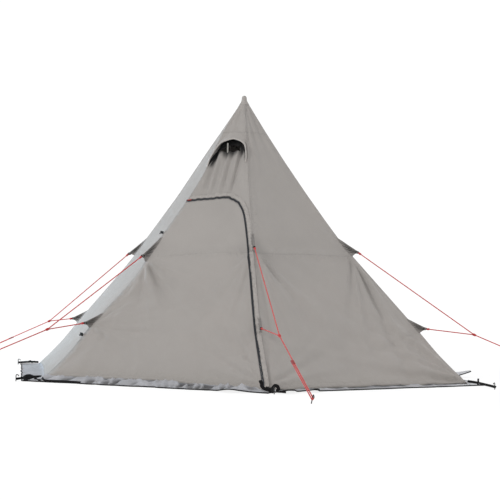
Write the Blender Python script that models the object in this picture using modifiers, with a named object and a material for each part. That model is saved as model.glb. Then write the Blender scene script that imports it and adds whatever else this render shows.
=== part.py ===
"""One-pole pyramid tent with a six-sided plan: cloth panels sewn edge to edge, an arched door that a
zip closes, a hooded vent front and back, a ground skirt, pull-out tabs with forked guy lines, and pegs.
Metres, +Z up, the door faces -Y, the origin is on the ground under the pole."""

import math

import bpy
import bmesh
from mathutils import Matrix, Vector

# Plan and height
HALF_WIDTH = 2.0  # centre to the left and right corners
HALF_DEPTH = 1.73  # centre to the front and back hems
HALF_FRONT = 0.92  # half of the door side
HEIGHT = 2.40  # ground to where the seams would meet

# Seam line from the ground up: share of the height, share of the plan, sag share of the span above it
SEAM_SHARES = ((0.0, 1.0, 0.011), (0.19, 0.772, 0.0), (0.454, 0.472, 0.014), (1.0, 0.0, 0.0))
# Heights where the cloth bends, as shares of the height
ROW_SHARES = (0.0, 0.042, 0.10, 0.19, 0.32, 0.454, 0.55, 0.65, 0.76, 0.87, 0.9867, 1.0)
PANEL_COLUMNS = 8

# Cloth
CLOTH = 0.003
GAP = 0.0003  # between pieces that touch
MERGE = 0.00001  # points this close are one
SEAM_CLEAR = 0.00025  # each side of a seam, along the hem
HEM_CLEAR = 0.02  # hem above the ground at a corner
HEM_RISE = 0.025  # and how much higher it is midway

# Door and its zip, on the door side: across as a share of HALF_FRONT, up as a share of HEIGHT
ZIP_LEFT_HEIGHT_SHARE = 0.6063
ZIP_LEFT_INSET = 0.012
ZIP_ARCH_SHARES = ((0.02, 0.6165), (0.109, 0.6188), (0.197, 0.6046), (0.275, 0.5758), (0.336, 0.5329))
ZIP_SIDE_SHARES = (
    (0.454, 0.0505), (0.32, 0.0490), (0.19, 0.0475), (0.10, 0.0304), (0.042, 0.0196), (0.0275, 0.0180),
)
ZIP_HALF = 0.007  # half the width of the zip's tape
ZIP_PROUD = 0.0015
ZIP_DEEP = 0.0025
ZIP_STEPS = 3
FLAP_CLEAR = 0.002
CUT_BEYOND = 0.30  # how far a cutter runs past the cloth

# Zip sliders and their pulls
SLIDER_LONG = 0.030
SLIDER_WIDE = 0.012
SLIDER_THICK = 0.005
PULL_LONG = 0.034
PULL_WIDE = 0.007
PULL_THICK = 0.0016
PULL_BACK = 0.004  # the pull's hinge behind the slider's middle
UPPER_SLIDER_SHARE = 0.13  # along the straight top run
LOWER_SLIDER_HEIGHT_SHARE = 0.212

# Vents and their hoods, in the same shares as the zip; the third number is a share of HOOD_LIFT
HOOD_LIFT = 0.055
HOOD_CLOTH = 0.0025
HOOD_LIP_SHARES = (
    (-0.186, 0.7292, 0.0), (-0.164, 0.7528, 0.28), (-0.124, 0.7780, 0.56), (-0.075, 0.8062, 0.84),
    (-0.019, 0.8171, 0.97), (0.040, 0.8212, 1.0), (0.110, 0.8114, 0.88), (0.149, 0.7967, 0.62),
    (0.172, 0.7690, 0.28), (0.184, 0.7475, 0.0),
)
HOOD_ROOT_SHARES = (
    (-0.196, 0.7304), (-0.181, 0.7650), (-0.154, 0.8000), (-0.118, 0.8340), (-0.054, 0.8600),
    (0.020, 0.8640), (0.092, 0.8475), (0.128, 0.8230), (0.161, 0.7890), (0.191, 0.7490),
)
HOOD_ROWS = 4
HOOD_STEPS = 2
HOOD_CLEAR = 0.0008
VENT_HOLE_SHARES = ((-0.095, 0.792), (0.095, 0.792), (0.065, 0.840), (-0.065, 0.840))
MESH_THICK = 0.001
MESH_MARGIN = 0.010
PROP_LOW_SHARES = (-0.020, 0.7845)
PROP_HIGH = 0.080
PROP_WIDE = 0.012
PROP_THICK = 0.0025

# Ground skirt
SKIRT_OUT = 0.155
SKIRT_THICK = 0.0035
SKIRT_FACE = 0.0012  # between the cloth and the skirt's inner side, level
SKIRT_TOP = 0.034  # above the hem
SKIRT_FOLD = 0.006
SKIRT_TURN = 0.018
SKIRT_TURN_HEIGHT = 0.0065
SKIRT_MIDDLE_SHARE = 0.56
SKIRT_LOW = 0.0006
SKIRT_WAVE = 0.013
SKIRT_EDGE = 0.016
SKIRT_WAVES = 7.0
SKIRT_EDGE_WAVES_SHARE = 0.333
SKIRT_LAG = 1.3  # how far the edge's waves lag behind, in radians
SKIRT_CALM = 0.5  # power that flattens the waves toward the corners
SKIRT_COLUMNS = 22
DOOR_SKIRT_START = 0.035
DOOR_SKIRT_SLANT = 1.1
DOOR_SKIRT_INSET = 0.001
SKIRT_END_CLEAR = 0.003

# Pull-out tabs on every corner seam: bottom, middle, top and tip as shares of the height
TAB_SHARES = ((0.427, 0.454, 0.492, 0.441), (0.168, 0.19, 0.216, 0.183))
TAB_OUT = 0.078
TAB_TIP = 0.018
TAB_BITE = 0.0035
TAB_THICK = 0.003

# Guy lines: corner, junction beyond it, junction height, peg beyond it, turn of the peg in degrees
GUY_REACH = 0.97
GUY_SHARES = (
    ("front_right", 0.267, 0.420, 1.000, 10.7), ("right", 0.036, 0.415, 1.010, 0.0),
    ("left", -0.124, 0.422, 0.815, 0.0), ("front_left", -0.045, 0.402, 0.955, 0.0),
)
CORD_RADIUS = 0.0025
KNOT_RADIUS = 0.0075
CORD_FROM_TAB = 0.0025
STRAND_APART = 0.013
LOOP_STEPS = 6
RUNNER_SHARE = 0.445
RUNNER_LONG = 0.046
RUNNER_WIDE = 0.024
RUNNER_THICK = 0.0085
RUNNER_CLEAR = 0.0007  # between the cord and its bore
RUNNER_BEVEL = 0.0012
STRAND_END = 0.012
LINE_FOOT = 0.034  # the line's height at its peg

# Pegs and corner straps
PEG_RADIUS = 0.0036
PEG_DEEP = 0.17
PEG_ABOVE = 0.026
PEG_HOOK = 0.022
PEG_HOOK_SHARES = ((0.0, 0.0), (0.333, 0.25), (1.0, 0.0), (1.0, -0.333))
STRAP_REACH = 0.20
STRAP_WIDE = 0.020
STRAP_THICK = 0.002
# Corner straps: corner, share of STRAP_REACH, turn in degrees, sideways shift as a share of STRAP_WIDE
STRAP_SHARES = (
    ("front_left", 1.0, 0.0, -0.6), ("front_right", 1.0, 8.0, 0.0), ("right", 2.35, -52.0, 0.0),
    ("back_right", 1.0, 0.0, 0.0), ("back_left", 1.0, 0.0, 0.0), ("left", 1.0, 0.0, 0.0),
)
STRAP_HEIGHTS = (0.032, 0.0275, 0.0225, 0.019)
STRAP_LENGTH_SHARES = (0.0, 0.3, 0.72, 1.0)
STRAP_PEG_CLEAR = 0.0005
BUCKLE_LONG = 0.026
BUCKLE_WIDE = 0.028
BUCKLE_THICK = 0.006
BUCKLE_SHARE = 0.5

# Pole
POLE_RADIUS = 0.014
COLLAR_RADIUS = 0.0165
COLLAR_LONG = 0.07
COLLAR_STEP = 0.003
POLE_STEPS = 24
POLE_JOINT_SHARES = (0.0125, 0.25, 0.49, 0.73, 0.9583)
FOOT_RADIUS = 0.045
FOOT_EDGE = 0.004
FOOT_SOCKET = 0.021
FOOT_DISC = 0.012
TIP_RADIUS = 0.008
TIP_TOP_SHARE = 0.9925
CAP_RADIUS = 0.0222
CAP_SHOULDER = 0.026
CAP_HIGH = 0.0425
CAP_BORE = 0.0088
CAP_BORE_DEEP = 0.018

# Door toggles on the left front panel: height as a share of HEIGHT
TOGGLE_SHARES = (("door_toggle_upper", 0.489), ("door_toggle_lower", 0.142))
TOGGLE_LONG = 0.038
TOGGLE_RADIUS = 0.005
TOGGLE_FROM_SEAM = 0.030
TOGGLE_LOOP = 0.016
TOGGLE_LOOP_WIDE = 0.010
TOGGLE_LOOP_THICK = 0.002

UP = Vector((0, 0, 1))
CORNERS = {
    "front_left": Vector((-HALF_FRONT, -HALF_DEPTH, 0)), "front_right": Vector((HALF_FRONT, -HALF_DEPTH, 0)),
    "right": Vector((HALF_WIDTH, 0, 0)), "back_right": Vector((HALF_FRONT, HALF_DEPTH, 0)),
    "back_left": Vector((-HALF_FRONT, HALF_DEPTH, 0)), "left": Vector((-HALF_WIDTH, 0, 0)),
}


# Scene and materials
def clear_scene():
    for thing in list(bpy.data.objects):
        bpy.data.objects.remove(thing)
    for name in ("pyramid_tent", "cutters"):
        bpy.context.scene.collection.children.link(bpy.data.collections.new(name))


def material(name, colour, roughness, metallic=0.0):
    made = bpy.data.materials.new(name)
    made.use_nodes = True
    shader = made.node_tree.nodes["Principled BSDF"]
    shader.inputs["Base Color"].default_value = (*colour, 1)
    shader.inputs["Roughness"].default_value = roughness
    shader.inputs["Metallic"].default_value = metallic
    return made


def keep(thing, look):
    thing.data.materials.append(look)
    bpy.data.collections["pyramid_tent"].objects.link(thing)
    return thing


def as_cutter(thing):
    bpy.data.collections["cutters"].objects.link(thing)
    thing.hide_render = True
    thing.display_type = "WIRE"
    return thing


# Shapes
def mesh_object(name, points, faces):
    mesh = bpy.data.meshes.new(name)
    mesh.from_pydata([tuple(point) for point in points], [], faces)
    build = bmesh.new()
    build.from_mesh(mesh)
    bmesh.ops.recalc_face_normals(build, faces=build.faces)
    build.to_mesh(mesh)
    build.free()
    return bpy.data.objects.new(name, mesh)


def wall(name, outer, inner):
    """A closed wall between two grids of the same size."""
    rows, columns = len(outer), len(outer[0])

    def at(side, row, column):
        return (side * rows + row) * columns + column

    faces = []
    for row in range(rows - 1):
        for side in (0, 1):
            for column in range(columns - 1):
                faces.append((at(side, row, column), at(side, row, column + 1),
                              at(side, row + 1, column + 1), at(side, row + 1, column)))
        for column in (0, columns - 1):
            faces.append((at(0, row, column), at(0, row + 1, column),
                          at(1, row + 1, column), at(1, row, column)))
    for row in (0, rows - 1):
        for column in range(columns - 1):
            faces.append((at(0, row, column), at(0, row, column + 1),
                          at(1, row, column + 1), at(1, row, column)))
    return mesh_object(name, [point for grid in (outer, inner) for line in grid for point in line], faces)


def loft(name, rings):
    """A closed body through rings of points, its two ends filled."""
    count = len(rings[0])
    faces = [tuple(range(count)), tuple(range((len(rings) - 1) * count, len(rings) * count))]
    for ring in range(len(rings) - 1):
        for point in range(count):
            after = (point + 1) % count
            faces.append((ring * count + point, ring * count + after,
                          (ring + 1) * count + after, (ring + 1) * count + point))
    return mesh_object(name, [point for ring in rings for point in ring], faces)


def block(name, centre, axes, sides):
    """A box with its middle at centre and its sides along three directions."""
    signs = ((-1, -1), (1, -1), (1, 1), (-1, 1))
    halves = [axis * side / 2 for axis, side in zip(axes, sides)]
    return loft(name, [[centre + end * halves[0] + one * halves[1] + two * halves[2] for one, two in signs]
                       for end in (-1, 1)])


def bevel(thing, width):
    edge = thing.modifiers.new("bevel", "BEVEL")
    edge.width = width
    edge.segments = 2
    edge.limit_method = "ANGLE"


def cut(thing, other, operation):
    change = thing.modifiers.new(operation.lower(), "BOOLEAN")
    change.operation = operation
    change.solver = "EXACT"
    change.object = other


def turned(name, profile, foot=Vector((0, 0, 0))):
    """A body of revolution about an upright axis; the outer side runs top to bottom."""
    mesh = bpy.data.meshes.new(name)
    edges = [(i, i + 1) for i in range(len(profile) - 1)]
    mesh.from_pydata([(radius, 0, height) for radius, height in profile], edges, [])
    thing = bpy.data.objects.new(name, mesh)
    thing.location = foot
    screw = thing.modifiers.new("screw", "SCREW")
    screw.steps = screw.render_steps = POLE_STEPS
    screw.use_merge_vertices = True
    screw.merge_threshold = MERGE
    return thing


def tube(name, points, radius):
    """A round bar along straight runs, as a mesh."""
    curve = bpy.data.curves.new(name, "CURVE")
    curve.dimensions = "3D"
    curve.bevel_depth = radius
    curve.bevel_resolution = 2
    curve.use_fill_caps = True
    spline = curve.splines.new("POLY")
    spline.points.add(len(points) - 1)
    for place, point in zip(spline.points, points):
        place.co = (*point, 1)
    draft = bpy.data.objects.new(name + "_draft", curve)
    bpy.context.scene.collection.objects.link(draft)
    mesh = bpy.data.meshes.new_from_object(draft.evaluated_get(bpy.context.evaluated_depsgraph_get()))
    bpy.data.objects.remove(draft)
    build = bmesh.new()
    build.from_mesh(mesh)
    bmesh.ops.remove_doubles(build, verts=build.verts, dist=MERGE)
    bmesh.ops.recalc_face_normals(build, faces=build.faces)
    build.to_mesh(mesh)
    build.free()
    return bpy.data.objects.new(name, mesh)


def pivot_at(thing, point):
    """Puts the origin on the piece's joint axis and leaves its shape where it is."""
    thing.data.transform(Matrix.Translation(-point))
    thing.location = point


# The tent's surface
def smooth_share(level):
    for (low, wide, sag), (high, narrow, _) in zip(SEAM_SHARES, SEAM_SHARES[1:]):
        if level <= high:
            part = (level - low) / (high - low)
            return wide + (narrow - wide) * part - 4 * sag * part * (1 - part)
    return 0.0


BENDS = [(level * HEIGHT, smooth_share(level)) for level in ROW_SHARES]


def share(height):
    """Share of the plan that the cloth keeps at a height; straight between its rows."""
    for (low, wide), (high, narrow) in zip(BENDS, BENDS[1:]):
        if height <= high:
            return wide + (narrow - wide) * (height - low) / (high - low)
    return 0.0


class Side:
    """One side of the plan: its level direction, its outward direction and how far it is from the axis."""

    def __init__(self, start, end):
        one, two = CORNERS[start], CORNERS[end]
        self.along = (two - one).normalized()
        self.out = self.along.cross(UP)
        self.far = one.dot(self.out)
        self.low = one.dot(self.along)
        self.high = two.dot(self.along)

    def point(self, across, out, height):
        return self.along * across + self.out * out + UP * height

    def surface(self, height):
        return self.far * share(height)

    def slope(self, height):
        step = GAP
        return (self.surface(height + step) - self.surface(height - step)) / (2 * step)

    def normal(self, height):
        return (self.out - UP * self.slope(height)).normalized()

    def on_cloth(self, across, height, lift=0.0):
        return self.point(across, self.surface(height), height) + self.normal(height) * lift

    def limits(self, out):
        """How far the side reaches at a distance from the axis, short of the seams."""
        return self.low * out / self.far + SEAM_CLEAR, self.high * out / self.far - SEAM_CLEAR

    def mitred(self, part, out, height):
        low, high = self.limits(out)
        return self.point(low + (high - low) * part, out, height)


SIDES = {
    "front": Side("front_left", "front_right"), "right_front": Side("front_right", "right"),
    "right_back": Side("right", "back_right"), "back": Side("back_right", "back_left"),
    "left_back": Side("back_left", "left"), "left_front": Side("left", "front_left"),
}


def hem(part):
    return HEM_CLEAR + HEM_RISE * 4 * part * (1 - part)


def panel(name, side):
    """One side's cloth from hem to crown, mitred at both seams."""
    outer, inner = [], []
    for row, level in enumerate(ROW_SHARES[:-1]):
        outside, inside = [], []
        for column in range(PANEL_COLUMNS + 1):
            part = column / PANEL_COLUMNS
            height = level * HEIGHT if row else hem(part)
            normal = side.normal(height)
            out, back = side.surface(height), normal * CLOTH
            outside.append(side.mitred(part, out, height))
            inside.append(side.mitred(part, out - back.dot(side.out), height - back.z))
        outer.append(outside)
        inner.append(inside)
    return wall(name, outer, inner)


# Pull-out tabs
def seam_radius(corner, height):
    return CORNERS[corner].length * share(height)


def tab_tip(corner, shares):
    height = shares[3] * HEIGHT
    return CORNERS[corner].normalized() * (seam_radius(corner, height) + TAB_OUT) + UP * height


def tab(corner, shares, toward):
    """One tab as a thin slab on one side of its seam."""
    outward = CORNERS[corner].normalized()
    sideways = UP.cross(outward) * toward
    bottom, middle, top, tip = (part * HEIGHT for part in shares)
    roots = [(seam_radius(corner, height) - TAB_BITE, height) for height in (bottom, middle, top)]
    reach = seam_radius(corner, tip) + TAB_OUT
    outline = [*roots, (reach, tip + TAB_TIP / 2), (reach, tip - TAB_TIP / 2)]
    rings = [[outward * radius + UP * height + sideways * (SEAM_CLEAR + offset) for radius, height in outline]
             for offset in (0, TAB_THICK)]
    return as_cutter(loft("tab_" + corner, rings))


def add_tabs(thing, corner, toward):
    for shares in TAB_SHARES:
        cut(thing, tab(corner, shares, toward), "UNION")


# Door, zip and sliders
def curve_through(points, steps):
    """More points on a smooth line through the given ones."""
    first = points[0] * 2 - points[1]
    last = points[-1] * 2 - points[-2]
    line = [first, *points, last]
    made = []
    for before, one, two, after in zip(line, line[1:], line[2:], line[3:]):
        for step in range(steps):
            t = step / steps
            made.append(0.5 * (2 * one + (two - before) * t + (2 * before - 5 * one + 4 * two - after) * t * t
                               + (3 * one - before - 3 * two + after) * t * t * t))
    return [*made, points[-1]]


def zip_route():
    """The zip's middle line on the door side, as (across, height), from its left end to the ground."""
    height = ZIP_LEFT_HEIGHT_SHARE * HEIGHT
    start = Vector((-HALF_FRONT * share(height) + ZIP_LEFT_INSET, height))
    arch = [Vector((across * HALF_FRONT, level * HEIGHT)) for across, level in ZIP_ARCH_SHARES]
    side = [Vector((HALF_FRONT * (share(level * HEIGHT) - inset), level * HEIGHT))
            for level, inset in ZIP_SIDE_SHARES]
    return [start, *curve_through([*arch, side[0]], ZIP_STEPS), *side[1:]]


def shifted(route, offset):
    """The route moved sideways; a positive offset is away from the door."""
    made = []
    for index, point in enumerate(route):
        ahead = route[min(index + 1, len(route) - 1)] - point
        behind = point - route[max(index - 1, 0)]
        course = (ahead.normalized() + behind.normalized()).normalized()
        made.append(point + Vector((-course.y, course.x)) * offset)
    return made


def hinge_ends():
    """The ends of the straight line along the left seam that the door turns about."""
    height = ZIP_LEFT_HEIGHT_SHARE * HEIGHT
    corner = CORNERS["front_left"]
    return corner, corner * share(height) + UP * height


def door_way():
    """The direction in which the closed door starts to move."""
    low, high = hinge_ends()
    return SIDES["front"].along.cross(high - low).normalized()


def door_cutter(name, offset):
    """A body that holds everything inside the zip's route; its sides run the door's way."""
    route = shifted(zip_route(), offset)
    start = (route[0] - route[1]).normalized() * CUT_BEYOND + route[0]
    end = Vector((route[-1].x, -CUT_BEYOND))
    outline = [start, *route, end, Vector((-HALF_WIDTH, -CUT_BEYOND)), Vector((-HALF_WIDTH, start.y))]
    side = SIDES["front"]
    rings = [[side.on_cloth(across, height) + door_way() * reach for across, height in outline]
             for reach in (-CUT_BEYOND, CUT_BEYOND)]
    return as_cutter(loft(name, rings))


def zip_strip():
    side = SIDES["front"]
    route = zip_route()
    rings = []
    for inner, outer in zip(shifted(route, -ZIP_HALF), shifted(route, ZIP_HALF)):
        section = ((inner, ZIP_PROUD), (outer, ZIP_PROUD), (outer, -ZIP_DEEP), (inner, -ZIP_DEEP))
        rings.append([side.on_cloth(at.x, at.y) + door_way() * lift for at, lift in section])
    return loft("door_zip", rings)


def top_run():
    route = zip_route()
    return route[0], route[1]


def slider_frame(at, course):
    """Where a slider sits on the zip: its middle, its course, its width and its outward directions."""
    side = SIDES["front"]
    step = course.normalized() * SLIDER_LONG
    ahead = side.on_cloth(at.x + step.x, at.y + step.y)
    behind = side.on_cloth(at.x - step.x, at.y - step.y)
    forward = (ahead - behind).normalized()
    normal = side.normal(at.y)
    normal = (normal - forward * normal.dot(forward)).normalized()
    return side.on_cloth(at.x, at.y), forward, normal.cross(forward), normal


def slider_places():
    """Each slider's place and the way its pull lies, as (name, point, course)."""
    start, end = top_run()
    route = zip_route()
    height = LOWER_SLIDER_HEIGHT_SHARE * HEIGHT
    low = next(i for i, point in enumerate(route) if i > 1 and point.y < height)
    one, two = route[low - 1], route[low]
    lower = one + (two - one) * (height - one.y) / (two.y - one.y)
    return (("upper", start + (end - start) * UPPER_SLIDER_SHARE, end - start), ("lower", lower, two - one))


def pull_pivot(base, forward, normal):
    """The pull's near end, free of the slider's top at every angle."""
    return base - forward * PULL_BACK + normal * (SLIDER_THICK + GAP + PULL_THICK / 2)


def add_sliders(metal, red):
    for name, at, course in slider_places():
        centre, forward, wide, normal = slider_frame(at, course)
        base = centre + normal * (ZIP_PROUD + GAP)
        body = block("zip_slider_" + name, base + normal * SLIDER_THICK / 2, (forward, wide, normal),
                     (SLIDER_LONG, SLIDER_WIDE, SLIDER_THICK))
        bevel(body, SLIDER_THICK / 4)
        pivot_at(keep(body, metal), base)
        start = pull_pivot(base, forward, normal)
        pull = block("zip_pull_" + name, start + forward * PULL_LONG / 2, (forward, wide, normal),
                     (PULL_LONG, PULL_WIDE, PULL_THICK))
        bevel(pull, PULL_THICK / 4)
        pivot_at(keep(pull, red), start)


def add_door(cloth, tape):
    front = SIDES["front"]
    opening = door_cutter("door_cutter", ZIP_HALF + GAP)
    inside = door_cutter("flap_cutter", -ZIP_HALF - FLAP_CLEAR)
    frame = keep(panel("door_panel", front), cloth)
    cut(frame, opening, "DIFFERENCE")
    cut(frame, vent_cutter("front"), "DIFFERENCE")
    flap = keep(panel("door_flap", front), cloth)
    cut(flap, inside, "INTERSECT")
    pivot_at(flap, CORNERS["front_left"])
    keep(zip_strip(), tape)


# Vents
def vent_outline(grow=0.0):
    middle = (VENT_HOLE_SHARES[0][1] + VENT_HOLE_SHARES[2][1]) / 2
    made = []
    for across, level in VENT_HOLE_SHARES:
        wider = across * HALF_FRONT + math.copysign(grow, across)
        made.append((wider, level * HEIGHT + math.copysign(grow, level - middle)))
    return made


def vent_cutter(name):
    side = SIDES[name]
    rings = [[side.point(across, out, height) for across, height in vent_outline()] for out in (0, side.far)]
    return as_cutter(loft("vent_cutter_" + name, rings))


def vent_mesh(name):
    """A fine net on the inside of the vent's hole."""
    side = SIDES[name]
    rings = [[side.on_cloth(across, height, -back) for across, height in vent_outline(MESH_MARGIN)]
             for back in (CLOTH + GAP, CLOTH + GAP + MESH_THICK)]
    return loft("vent_mesh_" + name, rings)


def hood(name):
    side = SIDES[name]
    lip = curve_through([Vector((across * HALF_FRONT, level * HEIGHT, lift * HOOD_LIFT))
                         for across, level, lift in HOOD_LIP_SHARES], HOOD_STEPS)
    root = curve_through([Vector((across * HALF_FRONT, level * HEIGHT, 0))
                          for across, level in HOOD_ROOT_SHARES], HOOD_STEPS)
    outer, inner = [], []
    for row in range(HOOD_ROWS + 1):
        part = row / HOOD_ROWS
        line = [one + (two - one) * part for one, two in zip(root, lip)]
        for grid, lift in ((inner, HOOD_CLEAR), (outer, HOOD_CLEAR + HOOD_CLOTH)):
            grid.append([side.on_cloth(at.x, at.y, at.z + lift) for at in line])
    return wall("vent_hood_" + name, outer, inner)


def vent_prop(name):
    """A flat stay that stands on the cloth and holds the hood's lip out."""
    side = SIDES[name]
    across, height = PROP_LOW_SHARES[0] * HALF_FRONT, PROP_LOW_SHARES[1] * HEIGHT
    foot = side.on_cloth(across, height, PROP_THICK / 2 + GAP / 2)
    stay = block("vent_prop_" + name, foot + UP * PROP_HIGH / 2, (side.along, side.out, UP),
                 (PROP_WIDE, PROP_THICK, PROP_HIGH))
    pivot_at(stay, foot)
    return stay


# Ground skirt
def skirt_lines(side, part):
    """Outer and inner (out, height) points of the skirt's section at one place along the hem."""
    low = hem(part)
    calm = math.sin(math.pi * part) ** SKIRT_CALM
    turn = 2 * math.pi * SKIRT_WAVES * part
    wave = SKIRT_WAVE * calm * (1 + math.sin(turn)) / 2
    edge_wave = SKIRT_WAVE * calm * (1 + math.sin(turn + SKIRT_LAG)) / 2
    edge = SKIRT_OUT + SKIRT_EDGE * calm * math.sin(turn * SKIRT_EDGE_WAVES_SHARE)
    under = [(side.surface(height) + SKIRT_FACE, height) for height in (low + SKIRT_TOP, low + SKIRT_FOLD)]
    under.append((side.far + SKIRT_TURN, SKIRT_TURN_HEIGHT))
    under.append((side.far + SKIRT_OUT * SKIRT_MIDDLE_SHARE, SKIRT_LOW + wave))
    under.append((side.far + edge, SKIRT_LOW + edge_wave))
    face = SKIRT_THICK / side.normal(low).dot(side.out)
    over = [(out + face, height) for out, height in under[:2]]
    over.append((under[2][0] + SKIRT_THICK, under[2][1] + SKIRT_THICK))
    over += [(out, height + SKIRT_THICK) for out, height in under[3:]]
    return over, under


def skirt(name, side, left=None, right=None):
    """A skirt along one side; an end is mitred at its seam, or cut at (across, slant)."""
    grids = ([], [])
    for column in range(SKIRT_COLUMNS + 1):
        place = column / SKIRT_COLUMNS
        low, high = side.limits(side.far)
        low = left[0] if left else low
        high = right[0] if right else high
        across = low + (high - low) * place
        part = min(max((across - side.low) / (side.high - side.low), 0), 1)
        for grid, line in zip(grids, skirt_lines(side, part)):
            points = []
            for out, height in line:
                start, end = side.limits(out)
                start = left[0] + left[1] * max(out - side.far, 0) if left else start
                end = right[0] + right[1] * max(out - side.far, 0) if right else end
                points.append(side.point(start + (end - start) * place, out, height))
            grid.append(points)
    return wall(name, *grids)


def add_skirts(cloth):
    for name in ("right_front", "right_back", "back", "left_back", "left_front"):
        keep(skirt(name + "_skirt", SIDES[name]), cloth)
    front = SIDES["front"]
    edge = shifted(zip_route(), -ZIP_HALF - FLAP_CLEAR)[-1].x
    slanted_end = (front.low + DOOR_SKIRT_START, DOOR_SKIRT_SLANT)
    door = skirt("door_skirt", front, slanted_end, (edge - DOOR_SKIRT_INSET, 0))
    pivot_at(keep(door, cloth), CORNERS["front_left"])
    keep(skirt("front_skirt_end", front, (edge + SKIRT_END_CLEAR, 0), None), cloth)


# Pegs, straps and guy lines
def peg(name, top, axis, outward):
    """A bent-wire peg: its point in the ground and its hook turned outward."""
    bend = top + axis * PEG_ABOVE
    hook = [bend + (outward * out + axis * high) * PEG_HOOK for out, high in PEG_HOOK_SHARES]
    return tube(name, [top - axis * PEG_DEEP, *hook], PEG_RADIUS)


def skirt_radius(corner, height):
    """How far out the skirt's face reaches on a corner's seam."""
    reach = 0
    for side in SIDES.values():
        if abs(side.far - CORNERS[corner].dot(side.out)) < GAP:
            face = SKIRT_FACE + SKIRT_THICK / side.normal(height).dot(side.out)
            reach = max(reach, (side.surface(height) + face) * CORNERS[corner].length / side.far)
    return reach


def strap_start(corner, turn, shift):
    """Where a strap meets the skirt: at the seam's ridge, farther out when it is turned past the side."""
    radial = CORNERS[corner].normalized()
    half = min(radial.angle(side.out) for side in SIDES.values())
    spread = max(0, math.sin(abs(math.radians(turn)) - half)) * STRAP_WIDE / 2
    ease = max(0, abs(shift) - 0.5) * STRAP_WIDE * math.tan(half)
    reach = skirt_radius(corner, STRAP_HEIGHTS[0]) + (2 * GAP if spread else GAP) + spread - ease
    return radial * reach + UP.cross(radial) * shift * STRAP_WIDE


def add_strap(corner, reach, turn, shift, webbing, steel):
    outward = Matrix.Rotation(math.radians(turn), 3, "Z") @ CORNERS[corner].normalized()
    across = UP.cross(outward)
    start = strap_start(corner, turn, shift)
    long = STRAP_REACH * reach + (CORNERS[corner] - start).length
    line = [start + outward * long * part + UP * height
            for part, height in zip(STRAP_LENGTH_SHARES, STRAP_HEIGHTS)]
    sheet = [[at + across * STRAP_WIDE * half for half in (-0.5, 0.5)] for at in line]
    raised = [[at + UP * STRAP_THICK for at in row] for row in sheet]
    strap = keep(wall("corner_strap_" + corner, raised, sheet), webbing)
    middle = line[1] + (line[2] - line[1]) * BUCKLE_SHARE + UP * STRAP_THICK / 2
    course = (line[2] - line[1]).normalized()
    buckle = block("buckle_" + corner, middle, (course, across, across.cross(course) * -1),
                   (BUCKLE_LONG, BUCKLE_WIDE, BUCKLE_THICK))
    cut(strap, as_cutter(buckle), "UNION")
    foot = line[-1] + outward * (PEG_RADIUS + STRAP_PEG_CLEAR)
    foot.z = STRAP_HEIGHTS[-1]
    keep(peg("corner_peg_" + corner, foot, UP, outward * -1), steel)


def guy_frame(corner, junction_out, junction_height, peg_out, turn):
    """A guy line's junction, peg point, course, sideways and upward directions."""
    outward = Matrix.Rotation(math.radians(turn), 3, "Z") @ CORNERS[corner].normalized()
    junction = CORNERS[corner] + outward * junction_out * GUY_REACH + UP * junction_height * GUY_REACH
    foot = CORNERS[corner] + outward * peg_out * GUY_REACH + UP * LINE_FOOT
    course = (foot - junction).normalized()
    sideways = UP.cross(outward).normalized()
    return junction, foot, course, sideways, course.cross(sideways)


def add_guy(row, cord, steel, plastic):
    corner = row[0]
    junction, foot, course, sideways, above = guy_frame(*row)
    half = STRAND_APART / 2
    runner_at = junction + (foot - junction) * RUNNER_SHARE
    loop = [foot + (sideways * math.cos(angle) + course * math.sin(angle)) * half
            for angle in [math.pi * step / LOOP_STEPS for step in range(LOOP_STEPS + 1)]]
    shift = sideways * half
    main = [junction + shift, *loop, runner_at - shift - course * STRAND_END]
    line = keep(tube("guy_line_" + corner, main, CORD_RADIUS), cord)
    for shares in TAB_SHARES:
        tip = tab_tip(corner, shares)
        away = (junction + shift - tip).normalized()
        branch = tube("branch_" + corner, [tip + away * CORD_FROM_TAB, junction + shift], CORD_RADIUS)
        cut(line, as_cutter(branch), "UNION")
    knot = block("knot_" + corner, junction + shift, (course, sideways, above), (2 * KNOT_RADIUS,) * 3)
    cut(line, as_cutter(knot), "UNION")
    runner = block("guy_runner_" + corner, runner_at, (course, sideways, above),
                   (RUNNER_LONG, RUNNER_WIDE, RUNNER_THICK))
    bevel(runner, RUNNER_BEVEL)
    for sign in (-1, 1):
        ends = [runner_at + shift * sign + course * way * RUNNER_LONG for way in (-1, 1)]
        cut(runner, as_cutter(tube("bore_" + corner, ends, CORD_RADIUS + RUNNER_CLEAR)), "DIFFERENCE")
    pivot_at(keep(runner, plastic), runner_at)
    keep(peg("guy_peg_" + corner, foot, above, course), steel)


# Pole
def add_pole(metal, rubber, plastic):
    heights = [part * HEIGHT for part in POLE_JOINT_SHARES]
    foot = [(0, heights[0]), (FOOT_SOCKET, heights[0]), (FOOT_SOCKET, FOOT_DISC),
            (FOOT_RADIUS, FOOT_DISC - FOOT_EDGE), (FOOT_RADIUS, 0), (0, 0)]
    keep(turned("pole_foot", foot), rubber)
    for name, low, high in zip(("bottom", "lower", "upper", "top"), heights, heights[1:]):
        low += GAP
        collar = low + COLLAR_LONG
        profile = [(0, high), (POLE_RADIUS, high), (POLE_RADIUS, collar),
                   (COLLAR_RADIUS, collar - COLLAR_STEP), (COLLAR_RADIUS, low), (0, low)]
        keep(turned("pole_" + name + "_section", profile), metal)
    low, high = heights[-1] + GAP, TIP_TOP_SHARE * HEIGHT
    tip = [(0, high), (TIP_RADIUS / 2, high), (TIP_RADIUS, high - TIP_RADIUS / 2),
           (TIP_RADIUS, low + TIP_RADIUS), (POLE_RADIUS, low), (0, low)]
    keep(turned("pole_tip", tip), plastic)


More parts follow.
